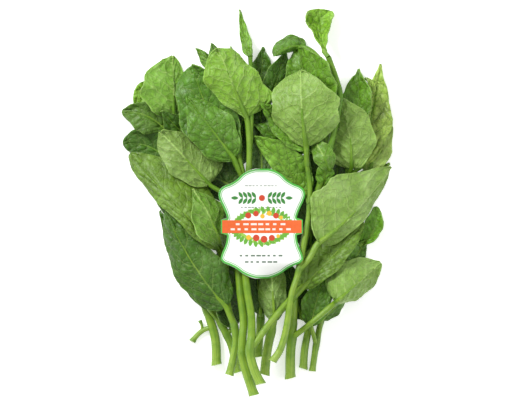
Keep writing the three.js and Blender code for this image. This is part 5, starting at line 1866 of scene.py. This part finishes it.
ink_pieces = [
    ink_piece("ink_lime", lime_marks, paint(160, 208, 84), over=FILM),
    ink_piece("ink_leaf_green", leaf_green_marks, paint(112, 182, 62), over=2 * FILM),
    ink_piece("ink_red", red_marks, paint(214, 74, 44), over=3 * FILM),
    ink_piece("ink_yellow", yellow_marks, paint(246, 196, 60), over=3 * FILM),
    ink_piece("ink_orange", ribbon_marks, paint(240, 108, 48), over=4 * FILM),
    ink_piece("ink_white", white_marks, paint(250, 240, 230), over=5 * FILM),
    ink_piece("ink_green", green_marks, paint(66, 140, 62), over=FILM),
    ink_piece("ink_grey", print_marks, paint(104, 126, 108), over=FILM),
]
for piece in ink_pieces:
    print(f"{piece.name}: {triangles_of(piece)} triangles")

# %% [markdown]
# ## Which piece stands for what
#
# The imported solids carry the weight, the size and the collision. Each fine piece now rides on the root
# body, and the imported solid that it stands for is hidden, so that the piece shows in the solid's place.

# %% Ride and replace
for pieces, finish in ((leaf_pieces, "leaf"), (stem_pieces, "stem")):
    for node, piece in pieces.items():
        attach(piece, "root")
        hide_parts(node)
for piece in [printed_card, *ink_pieces]:
    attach(piece, "root")
    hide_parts("label_card")
print("pieces:", len(leaf_pieces) + len(stem_pieces) + 1 + len(ink_pieces))

# %% [markdown]
# ## Table, light and camera
#
# The bunch lies on a plain white table and is lit as in a shop's catalogue: a large soft light from the
# upper left, a weaker one from the right, and a bright room all round. The table top glows a little, as
# a photographer's light table does, so that shadows on it stay faint while those between the leaves
# stay deep. The camera hangs straight above on a long lens, which keeps the stems from spreading.

# %% The table
TABLE_HALF = 3.0
TABLE_GLOW = 0.45
WHITE = (1.0, 1.0, 1.0, 1.0)


def build_table():
    corners = [(-TABLE_HALF, -TABLE_HALF, 0), (TABLE_HALF, -TABLE_HALF, 0),
               (TABLE_HALF, TABLE_HALF, 0), (-TABLE_HALF, TABLE_HALF, 0)]
    table = new_mesh_object("table", corners, faces=[(0, 1, 2, 3)])
    material, tree, shader = new_material("Pale table")
    feed(tree, shader, Base_Color=paint(250, 250, 250), Roughness=0.9, Emission_Color=WHITE,
         Emission_Strength=TABLE_GLOW)
    table.data.materials.append(material)
    table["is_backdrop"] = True
    return table


table = build_table()
print("table:", 2 * TABLE_HALF, "m wide")

# %% The lights
ROOM_STRENGTH = 0.58


def soft_light(name, place, size, power):
    lamp = bpy.data.lights.new(name, "AREA")
    lamp.shape = "DISK"
    lamp.size = size
    lamp.energy = power
    holder = bpy.data.objects.new(name, lamp)
    holder.location = place
    aim = -holder.location
    holder.rotation_euler = aim.to_track_quat("-Z", "Y").to_euler()
    bpy.context.collection.objects.link(holder)
    print(f"{name}: {size} m across, {power} W")


soft_light("Window", (-1.0, 1.1, 1.2), 0.7, 32)
soft_light("Reflector", (1.3, -0.5, 1.2), 1.2, 6)

room = bpy.data.worlds.new("Room")
room.use_nodes = True
feed(room.node_tree, room.node_tree.nodes["Background"], Color=WHITE, Strength=ROOM_STRENGTH)
bpy.context.scene.world = room
bpy.context.scene.view_settings.view_transform = "Standard"

# %% The camera
PICTURE_CENTRE = (-1.54, 1.54)
PICTURE_WIDTH = 394.24
CAMERA_HEIGHT = 2500
PILE_MIDDLE = 15
SENSOR = 36

lens = bpy.data.cameras.new("Camera")
lens.sensor_width = SENSOR
lens.lens = SENSOR * (CAMERA_HEIGHT - PILE_MIDDLE) / PICTURE_WIDTH
camera = bpy.data.objects.new("Camera", lens)
camera.location = [value * MM for value in (*PICTURE_CENTRE, CAMERA_HEIGHT)]
bpy.context.collection.objects.link(camera)
bpy.context.scene.camera = camera
print(f"camera: {lens.lens:.0f} mm lens at {CAMERA_HEIGHT / 1000} m")

# %% Sizes, and the end
seen_box = [list(corner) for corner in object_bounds()]
print("seen box in mm:", [[round(v / MM, 1) for v in corner] for corner in seen_box])
